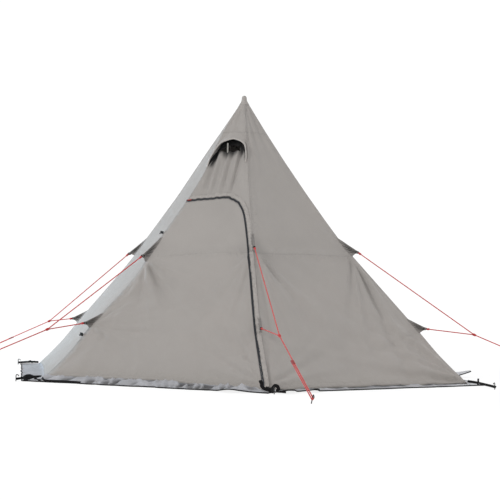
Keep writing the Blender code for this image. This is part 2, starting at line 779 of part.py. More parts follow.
def crown_cap():
    low = ROW_SHARES[-2] * HEIGHT + GAP
    profile = [(0, low + CAP_HIGH), (CAP_RADIUS / 2, low + CAP_HIGH - CAP_RADIUS / 8),
               (CAP_RADIUS, low + CAP_SHOULDER), (CAP_RADIUS, low), (CAP_BORE, low),
               (CAP_BORE, low + CAP_BORE_DEEP), (0, low + CAP_BORE_DEEP)]
    return turned("crown_cap", profile)


# Toggles
def toggle(name, level):
    """A short bar on a loop that hangs beside the door's seam."""
    side = SIDES["left_front"]
    height = level * HEIGHT
    across = side.high * share(height) - TOGGLE_FROM_SEAM
    normal = side.normal(height)
    down = normal.cross(side.along)
    if down.z > 0:
        down = -down
    centre = side.on_cloth(across, height, TOGGLE_RADIUS + GAP * 2)
    ends = [centre + side.along * TOGGLE_LONG / 2 * way for way in (-1, 1)]
    bar = tube(name, ends, TOGGLE_RADIUS)
    middle = centre - down * TOGGLE_LOOP / 2 - normal * (TOGGLE_RADIUS - TOGGLE_LOOP_THICK / 2)
    loop = block("loop_" + name, middle, (down, side.along, normal),
                 (TOGGLE_LOOP, TOGGLE_LOOP_WIDE, TOGGLE_LOOP_THICK))
    cut(bar, as_cutter(loop), "UNION")
    pivot_at(bar, centre - down * TOGGLE_LOOP - normal * TOGGLE_RADIUS)
    return bar


def build():
    clear_scene()
    cloth = material("canopy_cloth", (0.36, 0.335, 0.315), 0.85)
    crown = material("crown_cloth", (0.40, 0.385, 0.365), 0.85)
    ground = material("skirt_cloth", (0.40, 0.41, 0.47), 0.6)
    webbing = material("black_webbing", (0.015, 0.015, 0.016), 0.8)
    tape = material("zip_tape", (0.045, 0.05, 0.06), 0.6)
    net = material("vent_net", (0.02, 0.02, 0.02), 0.9)
    cord = material("red_cord", (0.55, 0.06, 0.06), 0.7)
    red = material("red_pull", (0.60, 0.02, 0.02), 0.5)
    steel = material("steel_wire", (0.08, 0.08, 0.085), 0.4, 1.0)
    metal = material("pole_metal", (0.50, 0.51, 0.52), 0.35, 1.0)
    plastic = material("black_plastic", (0.02, 0.02, 0.02), 0.45)
    rubber = material("foot_rubber", (0.03, 0.03, 0.03), 0.8)
    stay = material("pale_stay", (0.45, 0.43, 0.38), 0.6)

    add_door(cloth, tape)
    add_sliders(plastic, red)
    right_front = keep(panel("right_front_panel", SIDES["right_front"]), cloth)
    add_tabs(right_front, "front_right", 1)
    add_tabs(right_front, "right", -1)
    right_back = keep(panel("right_back_panel", SIDES["right_back"]), cloth)
    add_tabs(right_back, "back_right", -1)
    back = keep(panel("back_panel", SIDES["back"]), cloth)
    cut(back, vent_cutter("back"), "DIFFERENCE")
    left_back = keep(panel("left_back_panel", SIDES["left_back"]), cloth)
    add_tabs(left_back, "back_left", 1)
    left_front = keep(panel("left_front_panel", SIDES["left_front"]), cloth)
    add_tabs(left_front, "left", 1)
    add_tabs(left_front, "front_left", -1)
    for name in ("front", "back"):
        keep(hood(name), crown)
        keep(vent_mesh(name), net)
        keep(vent_prop(name), stay)
    add_skirts(ground)
    for row in STRAP_SHARES:
        add_strap(*row, webbing, steel)
    for row in GUY_SHARES:
        add_guy(row, cord, steel, plastic)
    add_pole(metal, rubber, plastic)
    keep(crown_cap(), crown)
    for name, level in TOGGLE_SHARES:
        keep(toggle(name, level), plastic)


build()
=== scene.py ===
"""Looks of a six-sided one-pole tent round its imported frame: one sewn canopy sheet, the door and its zip, hooded
vents, pull-out tabs with guy lines, corner straps and the ground skirt. Metres, +Z up, the door faces -Y."""

import math

import bmesh
import bpy
import numpy as np
from mathutils import Matrix, Vector


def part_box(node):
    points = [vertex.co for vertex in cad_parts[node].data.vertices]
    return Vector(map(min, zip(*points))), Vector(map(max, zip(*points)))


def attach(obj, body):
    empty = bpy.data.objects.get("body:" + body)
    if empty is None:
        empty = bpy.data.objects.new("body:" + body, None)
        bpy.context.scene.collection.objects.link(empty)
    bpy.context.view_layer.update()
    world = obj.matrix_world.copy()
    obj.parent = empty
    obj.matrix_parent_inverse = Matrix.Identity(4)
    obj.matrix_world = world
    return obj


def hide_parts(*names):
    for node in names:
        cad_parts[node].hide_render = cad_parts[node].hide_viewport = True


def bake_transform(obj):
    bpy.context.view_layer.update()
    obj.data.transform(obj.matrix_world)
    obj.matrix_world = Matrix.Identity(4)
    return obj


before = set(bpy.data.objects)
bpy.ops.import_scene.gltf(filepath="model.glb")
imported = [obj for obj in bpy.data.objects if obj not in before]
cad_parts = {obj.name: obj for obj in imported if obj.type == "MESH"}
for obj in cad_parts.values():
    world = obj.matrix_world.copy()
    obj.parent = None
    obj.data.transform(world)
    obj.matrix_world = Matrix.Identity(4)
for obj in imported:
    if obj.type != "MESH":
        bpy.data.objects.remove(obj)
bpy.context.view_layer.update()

# Plan and height, as in the frame
HALF_WIDTH = 2.0
HALF_DEPTH = 1.73
HALF_FRONT = 0.92
HEIGHT = 2.40
SEAM_SHARES = ((0.0, 1.0, 0.011), (0.19, 0.772, 0.0), (0.454, 0.472, 0.014), (1.0, 0.0, 0.0))
ROW_SHARES = (0.0, 0.042, 0.10, 0.19, 0.32, 0.454, 0.55, 0.65, 0.76, 0.87, 0.9867, 1.0)
EASE = 0.03  # half of the height over which a bend is rounded
HEM_CLEAR = 0.02
# Height of the hem at the corners that sit lower, and how far it rises between corners
CORNER_HEMS = {"front_left": 0.018, "front_right": 0.009, "right": 0.012}
HEM_RISES = {"front": 0.023, "right_front": 0.003}
HEM_RISE = 0.018  # of the other sides
HEM_SKEW = 0.75  # the highest place is nearer to a side's first corner
HEM_FADE = 0.30
UP = np.array((0.0, 0.0, 1.0))

# Heights of the seams and knots of the canopy's rows
LOW_KNOT = 0.456
LEVEL_SEAM = 1.02
LEVEL_DIP = 0.055
PLAIN_KNOT = 1.42
CROWN_SEAM = 2.07
CROWN = 2.368
ROW_COUNTS = (30, 38, 26, 42, 18)
COLUMNS = 132
COLUMN_CROWDING = 0.45  # columns are closer together near the seams
SEAM_STEPS = (0.004, 0.012, 0.0145, 0.026, 0.042)
WIDE_ENOUGH = 0.30  # narrower rows draw these steps in
SEAM_RAISE = 0.0012
SEAM_BAND = 0.012
CANOPY_THICK = 0.0009

# How far a corner seam is drawn aside between its tabs: direction, then (height, distance)
SEAM_PULLS = {
    "front_left": (1, (
        (0.0, 0.002), (0.09, 0.010), (0.15, 0.018), (0.22, 0.023), (0.34, 0.024), (0.44, 0.026), (0.53, 0.038),
        (0.62, 0.056), (0.72, 0.070), (0.85, 0.068), (0.98, 0.046), (1.10, 0.028), (1.19, 0.022), (1.26, 0.028),
        (1.40, 0.038), (1.60, 0.042), (1.68, 0.039), (1.75, 0.030), (1.83, 0.016), (1.90, 0.000), (2.02, -0.010),
        (2.10, -0.014), (2.20, -0.010), (2.34, 0.0), (2.40, 0.0),
    )),
    "left": (-1, (
        (0.0, 0.0), (0.90, 0.004), (1.05, 0.020), (1.16, 0.032), (1.37, 0.030), (1.51, 0.025), (1.79, 0.028),
        (1.93, 0.026), (2.10, 0.016), (2.28, 0.0), (2.40, 0.0),
    )),
}
PULL_EASE = 0.06  # half of the height over which the pulls are averaged

# Zip on the door side: across as a share of HALF_FRONT, up as a share of HEIGHT
ZIP_LEFT_HEIGHT_SHARE = 0.6063
ZIP_LEFT_INSET = 0.012
ZIP_ARCH_SHARES = ((0.02, 0.6165), (0.109, 0.6188), (0.197, 0.6046), (0.275, 0.5758), (0.336, 0.5329))
ZIP_SIDE_SHARES = (
    (0.454, 0.0505), (0.32, 0.0490), (0.19, 0.0475), (0.10, 0.0304), (0.042, 0.0196), (0.0275, 0.0180),
    (0.0080, 0.0168),
)
ZIP_EDGE = 0.0065  # from the zip's middle to the cloth on both sides
ARCH_END_SHARE = 0.5758
DOOR_STEP = 0.008

# Hood over each vent, in the same shares; the third number is a share of HOOD_LIFT
HOOD_LIFT = 0.055
HOOD_LIP_SHARES = (
    (-0.186, 0.7292, 0.0), (-0.174, 0.7532, 0.28), (-0.145, 0.7800, 0.56), (-0.095, 0.8062, 0.84),
    (-0.030, 0.8171, 0.97), (0.040, 0.8212, 1.0), (0.116, 0.8120, 0.88), (0.156, 0.7980, 0.62),
    (0.178, 0.7695, 0.28), (0.184, 0.7475, 0.0),
)
HOOD_ROOT_SHARES = (
    (-0.196, 0.7304), (-0.181, 0.7650), (-0.154, 0.8000), (-0.118, 0.8340), (-0.054, 0.8600),
    (0.020, 0.8640), (0.092, 0.8475), (0.128, 0.8230), (0.161, 0.7890), (0.191, 0.7490),
)
VENT_HOLE_SHARES = ((-0.095, 0.792), (0.095, 0.792), (0.065, 0.840), (-0.065, 0.840))

# Tabs, as shares of HEIGHT: lower end, middle, upper end and tip
TAB_SHARES = ((0.427, 0.454, 0.492, 0.441), (0.168, 0.19, 0.216, 0.183))
# Tabs that the photograph shows pulled lower: corner, then 0 for the upper and 1 for the lower
TAB_MOVES = {("front_left", 0): (0.389, 0.42, 0.480, 0.409), ("left", 0): (0.423, 0.446, 0.490, 0.430)}
TAB_OUT = 0.078  # how far a tab's tip stands off its seam
TAB_OUTS = {("front_left", 0): 0.066, ("left", 0): 0.068}
TAB_TIP = 0.018
# Loops of the door's toggles: name, pivot and width
TOGGLE_LOOPS = (
    ("upper", (-0.41243, -0.729194, 1.187221), 0.022), ("lower", (-0.765914, -1.394755, 0.353889), 0.026),
)
# Guy lines: corner, how far out they fork, at what height, how far out the peg is, and degrees off the line from
# the axis; both distances and the height are times GUY_REACH
GUY_REACH = 0.97
GUY_SHARES = (
    ("front_right", 0.267, 0.420, 1.000, 10.7), ("right", 0.036, 0.415, 1.010, 0.0),
    ("left", -0.124, 0.422, 0.815, 0.0), ("front_left", -0.045, 0.402, 0.955, 0.0),
)
CORD_RADIUS = 0.0042
STRAND_APART = 0.013
RUNNER_SHARE = 0.445  # of the way from the fork to the peg
STRAND_END = 0.012  # how far the strand reaches past the runner's middle
LINE_FOOT = 0.034  # height of the line's end at its peg

# Skirt and straps
STRAP_WIDE = 0.020
STRAP_LEAN = 0.35  # a strap hangs nearly on its edge
# Loose ends of the straps, as (out, aside, up) from the corner on the ground, and their widths
PLAIN_TAIL = ((0.09, 0.010, 0.026), (0.12, 0.030, 0.020), (0.13, 0.058, 0.010), (0.11, 0.080, 0.009))
STRAP_TAILS = {
    "front_right": (
        (((0.085, -0.074, 0.074), (0.086, -0.062, 0.078), (0.088, -0.056, 0.066), (0.09, -0.056, 0.050),
          (0.10, -0.044, 0.034), (0.11, -0.020, 0.026), (0.13, 0.004, 0.016), (0.15, 0.014, 0.013)), 0.024),
        (((0.09, -0.010, 0.020), (0.10, 0.016, 0.030), (0.105, 0.034, 0.052), (0.11, 0.052, 0.048),
          (0.115, 0.060, 0.030), (0.12, 0.050, 0.018), (0.13, 0.078, 0.016), (0.14, 0.108, 0.014)), 0.024),
    ),
    "right": ((((0.155, 0.0, 0.012), (0.158, 0.004, 0.030), (0.160, 0.0, 0.050), (0.163, 0.002, 0.062)), 0.014),),
    "front_left": (
        (((0.075, 0.01, 0.030), (0.13, 0.03, 0.020), (0.165, 0.05, 0.016), (0.170, 0.05, 0.036),
          (0.135, 0.06, 0.046), (0.10, 0.08, 0.032), (0.095, 0.10, 0.014), (0.09, 0.15, 0.013)), 0.020),
        (((0.06, 0.12, 0.030), (0.07, 0.17, 0.014), (0.04, 0.23, 0.012), (0.01, 0.29, 0.013),
          (-0.02, 0.35, 0.013), (-0.05, 0.40, 0.012), (-0.07, 0.45, 0.011)), 0.020),
    ),
    "left": ((((0.03, 0.0, 0.034), (0.055, 0.004, 0.026), (0.075, -0.004, 0.036), (0.092, 0.0, 0.030)), 0.016),),
}
# Straps: corner, degrees off the line from the axis, and shift along the hem in strap widths
STRAP_ROWS = (
    ("front_left", 0.0, -0.6), ("front_right", 8.0, 0.0), ("right", -52.0, 0.0), ("back_right", 0.0, 0.0),
    ("back_left", 0.0, 0.0), ("left", 0.0, 0.0),
)



# Camera, fitted to the photograph: degrees, metres, radians and millimetres
CAMERA_AZIMUTH, CAMERA_DISTANCE, CAMERA_HEIGHT = 292.22, 11.0, 0.678
CAMERA_YAW, CAMERA_PITCH, CAMERA_ROLL = 0.00699, 0.03596, 0.02077
CAMERA_LENS, CAMERA_SENSOR = 91.74, 36.0


def linked(name, data):
    """A new object in the scene."""
    thing = bpy.data.objects.new(name, data)
    bpy.context.scene.collection.objects.link(thing)
    return thing


def add_camera():
    """The photograph's viewpoint: low, about eleven metres off, with a slight roll."""
    data = bpy.data.cameras.new("camera")
    data.lens, data.sensor_width = CAMERA_LENS, CAMERA_SENSOR
    camera = linked("camera", data)
    azimuth = math.radians(CAMERA_AZIMUTH)
    heading = math.atan2(-math.cos(azimuth), -math.sin(azimuth)) + CAMERA_YAW
    level, cosine, sine = math.cos(CAMERA_PITCH), math.cos(CAMERA_ROLL), math.sin(CAMERA_ROLL)
    forward = Vector((math.sin(heading) * level, math.cos(heading) * level, math.sin(CAMERA_PITCH)))
    right = Vector((math.cos(heading), -math.sin(heading), 0))
    above = right.cross(forward)
    place = (CAMERA_DISTANCE * math.cos(azimuth), CAMERA_DISTANCE * math.sin(azimuth), CAMERA_HEIGHT)
    axes = (right * cosine + above * sine, above * cosine - right * sine, -forward, place)
    camera.matrix_world = Matrix([[axis[k] for axis in axes] for k in range(3)] + [(0, 0, 0, 1)])
    bpy.context.scene.camera = camera


# Material nodes
class Look:
    """A Principled material with short calls for its nodes."""

    def __init__(self, name, roughness=0.85, **settings):
        self.material = bpy.data.materials.new(name)
        self.material.use_nodes = True
        self.tree = self.material.node_tree
        self.shader = self.tree.nodes["Principled BSDF"]
        self.shader.inputs["Roughness"].default_value = roughness
        for key, value in settings.items():
            self.shader.inputs[key.replace("_", " ")].default_value = value
        self.where = self.node("ShaderNodeTexCoord")["Object"]

    def node(self, kind, inputs=(), **settings):
        """The outputs of a new node; its sockets are set or linked by name or number."""
        made = self.tree.nodes.new(kind)
        for key, value in settings.items():
            setattr(made, key, value)
        for key, value in dict(inputs).items():
            self.put(made.inputs[key], value)
        return made.outputs

    def put(self, socket, value):
        if isinstance(value, bpy.types.NodeSocket):
            self.tree.links.new(value, socket)
        elif isinstance(value, (tuple, list)) and len(value) == 3 and len(socket.default_value) == 4:
            socket.default_value = (*value, 1)
        else:
            socket.default_value = value

    def math(self, operation, first, second=0.0):
        return self.node("ShaderNodeMath", {0: first, 1: second}, operation=operation)[0]

    def noise(self, scale, detail=2.0, rough=0.5, where=None):
        inputs = {"Vector": where or self.where, "Scale": scale, "Detail": detail, "Roughness": rough}
        return self.node("ShaderNodeTexNoise", inputs)["Fac"]

    def wave(self, scale, direction, distortion=0.0):
        inputs = {"Vector": self.where, "Scale": scale, "Distortion": distortion}
        return self.node("ShaderNodeTexWave", inputs, bands_direction=direction)["Fac"]

    def ramp(self, value, low, high, start=0.0, end=1.0, kind="SMOOTHSTEP"):
        inputs = dict(enumerate((value, low, high, start, end)))
        return self.node("ShaderNodeMapRange", inputs, interpolation_type=kind)[0]

    def mix(self, part, first, second):
        return self.node("ShaderNodeMix", {"Factor": part, 6: first, 7: second}, data_type="RGBA")[2]

    def over(self, base, colour, part, amount):
        """The colour laid over the base, at most by that amount."""
        return self.mix(self.math("MULTIPLY", part, amount), base, colour)

    def mark(self, name):
        return self.node("ShaderNodeAttribute", attribute_name=name)["Fac"]

    def height(self):
        return self.node("ShaderNodeSeparateXYZ", {0: self.where})["Z"]

    def stretched(self, scale):
        return self.node("ShaderNodeMapping", {"Vector": self.where, "Scale": scale})[0]

    def bump(self, height, distance, strength=1.0, under=None):
        inputs = {"Height": height, "Distance": distance, "Strength": strength}
        if under is not None:
            inputs["Normal"] = under
        return self.node("ShaderNodeBump", inputs)[0]

    def done(self, colour, normal, roughness=None):
        self.put(self.shader.inputs["Base Color"], colour)
        self.put(self.shader.inputs["Normal"], normal)
        if roughness is not None:
            self.put(self.shader.inputs["Roughness"], roughness)
        return self.material


def scaled(colour, factor):
    return tuple(channel * factor for channel in colour)


# Linear colours
CLOTH_COLOUR = (0.372, 0.348, 0.326)
CLOTH_DUST = (0.30, 0.275, 0.235)
# Colour of the painted shade that a shade attribute lays on the cloth
DARK = (0.005, 0.005, 0.005)
SKIRT_COLOURS = (0.36, 0.366, 0.390), (0.44, 0.446, 0.470)
# Darker tone of the skirt in patches near the ground
SKIRT_GROUND_TONE = (0.10, 0.096, 0.088)
# Colour of the painted shade between the skirt's heaps
SKIRT_DARK = (0.035, 0.035, 0.037)
TAPE_COLOURS = (0.016, 0.019, 0.024), (0.034, 0.038, 0.046)
TEETH_COLOURS = (0.012, 0.013, 0.015), (0.026, 0.028, 0.032)
CORD_COLOURS = (0.42, 0.012, 0.012), (0.76, 0.034, 0.034)
CORD_FLECK = (0.70, 0.40, 0.34)
WEBBING_COLOUR = (0.006, 0.006, 0.0065)
BLACK_COLOUR = (0.018, 0.018, 0.019)
# Near black of the vent net: its own colour, and also painted shade of the hood's inside
NET_AND_SHADE_COLOUR = (0.0035, 0.0035, 0.0035)
POLE_COLOUR = (0.62, 0.63, 0.64)
FOOT_COLOUR = (0.03, 0.03, 0.03)
PEG_COLOUR = (0.005, 0.005, 0.0055)
RUNNER_COLOUR = (0.26, 0.008, 0.008)
PULL_COLOUR = (0.50, 0.016, 0.014)
STAY_COLOUR = (0.27, 0.26, 0.235)
# Stitching beside a seam: length of a stitch, distances of its two rows, and where the pucker ends
STITCH = 0.0042
STITCH_ROWS = (0.0025, 0.0105)
PUCKER_END = 0.075


def cloth_look(name, colour, sewn=True):
    """Coated cotton cloth: plain weave, slubs, faint cloudiness, dust at the hem, stitched, puckered seams, and
    painted shade from its shade attribute.
    """
    look = Look(name, 0.82, Sheen_Weight=0.12, Sheen_Roughness=0.5)
    cloudy = look.ramp(look.noise(1.7, 4.0, 0.6), 0.3, 0.7)
    base = look.mix(cloudy, scaled(colour, 0.965), scaled(colour, 1.035))
    slubs = look.ramp(look.noise(1.0, 3.0, 0.6, look.stretched((160, 160, 900))), 0.35, 0.65)
    base = look.over(base, scaled(colour, 0.84), slubs, 0.22)
    warm = look.ramp(look.noise(0.9, 2.0), 0.45, 0.75)
    base = look.over(base, (colour[0] * 1.02, colour[1] * 0.985, colour[2] * 0.97), warm, 0.25)
    dusty = look.math("MULTIPLY", look.ramp(look.height(), 0.16, 0.0), look.noise(9.0, 4.0))
    base = look.over(base, CLOTH_DUST, dusty, 0.45)
    weave = look.math("ADD", look.wave(210, "X", 0.4), look.wave(240, "Z", 0.4))
    weave = look.math("ADD", weave, look.math("MULTIPLY", look.noise(420, 2.0), 1.2))
    normal = look.bump(weave, 0.00035, 0.6)
    normal = look.bump(look.noise(1.0, 3.0, 0.55, look.stretched((7, 7, 4))), 0.010, 0.55, normal)
    if sewn:
        off, run = look.mark("seam_off"), look.mark("seam_run")
        pucker = look.math("MULTIPLY", look.noise(26.0, 2.0), look.ramp(off, PUCKER_END, 0.0))
        normal = look.bump(pucker, 0.012, 1.0, normal)
        dash = look.math("GREATER_THAN", look.math("FRACT", look.math("MULTIPLY", run, 1 / STITCH)), 0.3)
        rows = [look.ramp(look.math("ABSOLUTE", look.math("SUBTRACT", off, at)), 0.0012, 0.0004) for at in STITCH_ROWS]
        row = look.math("MAXIMUM", *rows)
        normal = look.bump(look.math("SUBTRACT", 1.0, row), 0.0010, 0.7, normal)
        base = look.over(base, scaled(colour, 0.7), look.ramp(off, 0.0135, 0.0125), 0.10)
        base = look.over(base, scaled(colour, 0.45), look.ramp(off, 0.0022, 0.0), 0.55)
        base = look.over(base, scaled(colour, 1.18), look.math("MULTIPLY", row, dash), 0.6)
    # Painted shade: the shade attribute darkens the cloth under hoods, in tab creases and along the placket's edges
    base = look.mix(look.mark("shade"), base, DARK)
    return look.done(base, normal, look.ramp(look.noise(5.0, 3.0), 0.2, 0.8, 0.78, 0.9))


def skirt_look():
    """Thin coated fabric: smoother, cooler and a little shiny, creased, darker in patches near the ground, and with
    painted shade between its heaps.
    """
    look = Look("skirt_cloth", 0.5, Sheen_Weight=0.1)
    base = look.mix(look.ramp(look.noise(6.0, 4.0), 0.3, 0.7), *SKIRT_COLOURS)
    patches = look.ramp(look.noise(24.0, 6.0, 0.65), 0.35, 0.75)
    # Darker tone in patches near the ground
    base = look.over(base, SKIRT_GROUND_TONE, look.math("MULTIPLY", look.ramp(look.height(), 0.030, 0.004), patches), 0.55)
    # Painted shade between the heaps, from the shade attribute
    base = look.mix(look.mark("shade"), base, SKIRT_DARK)
    grid = look.math("MAXIMUM", look.wave(48, "X"), look.wave(48, "Y"))
    normal = look.bump(look.ramp(grid, 0.93, 1.0), 0.0004, 0.4)
    normal = look.bump(look.noise(30.0, 4.0, 0.6), 0.009, 0.8, normal)
    return look.done(base, normal, look.ramp(look.noise(12.0, 3.0), 0.2, 0.8, 0.42, 0.62))


def webbing_look():
    """Woven strap: crossing ribs and a fuzzy, slightly faded surface."""
    look = Look("black_webbing", 0.85, Specular_IOR_Level=0.25)
    base = look.mix(look.noise(70.0, 3.0), scaled(WEBBING_COLOUR, 0.7), scaled(WEBBING_COLOUR, 1.5))
    ribs = look.math("ADD", look.wave(150, "X", 1.0), look.wave(150, "Y", 1.0))
    return look.done(base, look.bump(look.math("ADD", ribs, look.noise(600.0, 2.0)), 0.0008, 0.8))


def zip_look():
    look = Look("zip_tape", 0.7, Sheen_Weight=0.1)
    weave = look.math("ADD", look.wave(260, "Z", 0.5), look.noise(500.0, 2.0))
    return look.done(look.mix(look.noise(120.0, 3.0), *TAPE_COLOURS), look.bump(weave, 0.0006, 0.7))


def teeth_look():
    look = Look("zip_teeth", 0.4)
    return look.done(look.mix(look.noise(200.0, 2.0), *TEETH_COLOURS), look.bump(look.noise(900.0, 2.0), 0.0003, 0.5))


def net_look():
    """Insect net: fine crossing threads; its near black is the net's own colour and also painted shade of the hood's
    inside.
    """
    look = Look("vent_net", 0.9)
    threads = look.math("MAXIMUM", look.wave(160, "X"), look.wave(160, "Z"))
    base = look.mix(look.ramp(threads, 0.8, 1.0), scaled(NET_AND_SHADE_COLOUR, 0.4), scaled(NET_AND_SHADE_COLOUR, 1.6))
    return look.done(base, look.bump(threads, 0.0006, 0.6))


def cord_look():
    """Braided guy line: bright red sheath with a pale fleck."""
    look = Look("red_cord", 0.6, Sheen_Weight=0.2)
    braid = look.math("ADD", look.wave(220, "DIAGONAL", 1.0), look.noise(500.0, 2.0))
    base = look.mix(look.ramp(braid, 0.4, 1.5), *CORD_COLOURS)
    base = look.over(base, CORD_FLECK, look.ramp(look.noise(260.0, 1.0), 0.60, 0.66), 0.35)
    return look.done(base, look.bump(braid, 0.0007, 0.8))


def plastic_look(name, colour, roughness=0.42):
    """Moulded plastic: fine grain, faint scuffs."""
    look = Look(name, roughness)
    scuffs = look.ramp(look.noise(40.0, 5.0, 0.7), 0.55, 0.75)
    base = look.over(colour, tuple(channel * 1.5 + 0.004 for channel in colour), scuffs, 0.35)
    normal = look.bump(look.noise(1200.0, 2.0), 0.0003, 0.4)
    return look.done(base, normal, look.ramp(scuffs, 0.0, 1.0, roughness, roughness + 0.2))


def metal_look(name, colour, roughness):
    """Drawn metal: fine lengthwise grain and dulled patches."""
    look = Look(name, roughness, Metallic=0.9)
    grain = look.noise(1.0, 3.0, 0.6, look.stretched((300, 300, 8)))
    darkened = look.ramp(look.noise(30.0, 5.0, 0.65), 0.5, 0.7)
    base = look.over(colour, scaled(colour, 0.55), darkened, 0.5)
    rough = look.math("ADD", look.ramp(darkened, 0.0, 1.0, roughness, roughness + 0.25), look.math("MULTIPLY", grain, 0.1))
    return look.done(base, look.bump(grain, 0.0004, 0.4), rough)


# The tent's surface
CORNERS = {
    "front_left": np.array((-HALF_FRONT, -HALF_DEPTH, 0)), "front_right": np.array((HALF_FRONT, -HALF_DEPTH, 0)),
    "right": np.array((HALF_WIDTH, 0, 0)), "back_right": np.array((HALF_FRONT, HALF_DEPTH, 0)),
    "back_left": np.array((-HALF_FRONT, HALF_DEPTH, 0)), "left": np.array((-HALF_WIDTH, 0, 0)),
}


def unit(vector):
    return vector / np.linalg.norm(vector)


def rest_share(level):
    for (low, wide, sag), (high, narrow, _) in zip(SEAM_SHARES, SEAM_SHARES[1:]):
        if level <= high:
            part = (level - low) / (high - low)
            return wide + (narrow - wide) * part - 4 * sag * part * (1 - part)
    return 0.0


def eased_table():
    """Share of the plan against height, its bends rounded."""
    heights = np.linspace(0, HEIGHT, 961)
    plain = np.interp(heights, np.array(ROW_SHARES) * HEIGHT, [rest_share(level) for level in ROW_SHARES])
    half = round(EASE / (heights[1] - heights[0]))
    padded = np.pad(plain, half, mode="reflect", reflect_type="odd")
    return heights, np.convolve(padded, np.ones(2 * half + 1) / (2 * half + 1), "valid")


HEIGHTS, SHARES = eased_table()
SLOPES = np.gradient(SHARES, HEIGHTS)


def share(height):
    return np.interp(height, HEIGHTS, SHARES)


def smooth(value, low, high):
    part = np.clip((value - low) / (high - low), 0, 1)
    return part * part * (3 - 2 * part)


def pull(corner, height):
    """How far a corner's seam is drawn along X at each height."""
    if corner not in SEAM_PULLS:
        return 0 * np.asarray(height, float)
    way, table = SEAM_PULLS[corner]
    heights, sizes = zip(*table)
    near = [np.interp(height + step, heights, sizes) for step in np.linspace(-PULL_EASE, PULL_EASE, 9)]
    return way * sum(near) / len(near)


class Side:
    """One side of the plan: its level direction, its outward direction and how far it is from the axis."""

    def __init__(self, name, index, start, end):
        self.name, self.index, self.start, self.end = name, index, start, end
        one, two = CORNERS[start], CORNERS[end]
        self.along = unit(two - one)
        self.out = np.cross(self.along, UP)
        self.far = one @ self.out
        self.low = one @ self.along
        self.high = two @ self.along

    def left(self, height):
        """Where its first seam is; on the door side a drawn seam stays in the side's own plane."""
        return self.low * share(height) + (pull(self.start, height) if self.name == "front" else 0)

    def right(self, height):
        return self.high * share(height)

    def place(self, across, height, lift=0.0):
        """Points on the cloth, raised along its normal."""
        across, height, lift = np.broadcast_arrays(*(np.asarray(v, float) for v in (across, height, lift)))
        slope = self.far * np.interp(height, HEIGHTS, SLOPES)
        long = np.sqrt(1 + slope ** 2)
        out = self.far * share(height) + lift / long
        rise = height - slope * lift / long
        points = across[..., None] * self.along + out[..., None] * self.out + rise[..., None] * UP
        if self.name != "front":
            part = np.clip((across / np.maximum(share(height), 0.02) - self.low) / (self.high - self.low), 0, 1)
            points[..., 0] += pull(self.start, height) * (1 - part) + pull(self.end, height) * part
        return points

    def level(self, across, out, height):
        """Points given by their distance from the axis."""
        across, out, height = np.broadcast_arrays(*(np.asarray(v, float) for v in (across, out, height)))
        return across[..., None] * self.along + out[..., None] * self.out + height[..., None] * UP


SIDE_NAMES = ("front", "right_front", "right_back", "back", "left_back", "left_front")
CORNER_ORDER = ("front_left", "front_right", "right", "back_right", "back_left", "left")
SIDES = {
    name: Side(name, index, CORNER_ORDER[index], CORNER_ORDER[(index + 1) % 6])
    for index, name in enumerate(SIDE_NAMES)
}


def hem_rise(side, across):
    """How far the hem stands above the straight line between its corners."""
    part = np.clip((across - side.low) / (side.high - side.low), 0, 1) ** HEM_SKEW
    return HEM_RISES.get(side.name, HEM_RISE) * 4 * part * (1 - part)


def hem_across(side, across):
    part = np.clip((across - side.low) / (side.high - side.low), 0, 1)
    start, end = (CORNER_HEMS.get(corner, HEM_CLEAR) for corner in (side.start, side.end))
    return start + (end - start) * part + hem_rise(side, across)


def seam_place(corner, height):
    """A point of a corner's seam."""
    return CORNERS[corner] * share(height) + UP * height + np.array((pull(corner, height), 0, 0))


# Folds of the cloth
def ripple(one, two, length, seed, count=7):
    """A smooth undulation of about that wavelength, between about -1 and 1."""
    draw = np.random.default_rng(seed)
    total = 0
    for _ in range(count):
        angle, phase = draw.uniform(0, 2 * math.pi, 2)
        step = 2 * math.pi / (length * draw.uniform(0.7, 1.6))
        total = total + np.sin((one * math.cos(angle) + two * math.sin(angle)) * step + phase)
    return total / (1.3 * math.sqrt(count))


# Fans of pull folds at the upper tab, the lower tab and the ground: first and last angle, folds, depth, reach
PLAIN_FANS = ((-108, 40, 13, 0.0080, 0.50), (-98, 60, 12, 0.0070, 0.50), (3, 58, 10, 0.0120, 0.70))
CALM_FANS = ((-108, 40, 6, 0.0010, 0.40), (-98, 60, 6, 0.0010, 0.40), (3, 58, 4, 0.0010, 0.40))
FANS = {
    ("front", "front_left"): ((-112, -16, 19, 0.0260, 0.62), (-40, 66, 17, 0.0170, 0.50), (8, 50, 6, 0.0060, 0.70)),
    ("front", "front_right"): ((-104, -62, 7, 0.0200, 0.55), (-98, -50, 7, 0.0120, 0.50), (14, 62, 9, 0.0220, 0.60)),
    ("right_front", "front_right"): (
        (-108, -56, 9, 0.0300, 0.60), (-98, -60, 5, 0.0080, 0.40), (6, 64, 9, 0.0180, 0.80),
    ),
    ("right_front", "right"): ((-107, -60, 13, 0.0300, 1.10), (-104, 10, 9, 0.0120, 0.60), (4, 52, 13, 0.0280, 1.00)),
    ("left_front", "left"): CALM_FANS,
    ("left_front", "front_left"): CALM_FANS,
}
GROUND_FAN = 0.03
FAN_RAISE = 0.015  # how far above a tab's lower end its folds begin
FAN_FADE = 0.10  # the cloth lies flat on its seams
# A fold of a fan: its place in its own slot, its width at the start and what it gains on the way, its size and
# reach as shares of the fan's, and its way, which is outward for two of three
FOLD_PLACES, FOLD_WIDTHS, FOLD_GAINS = (0.15, 0.85), (0.009, 0.013), (0.028, 0.05)
FOLD_SIZES, FOLD_REACHES, FOLD_WAYS = (0.35, 1.0), (0.6, 1.2), (-1, 1, 1)
FOLD_START = 0.10  # it has its whole size this far from the tab
FOLD_STRETCH = 1.25  # heights count for more than widths


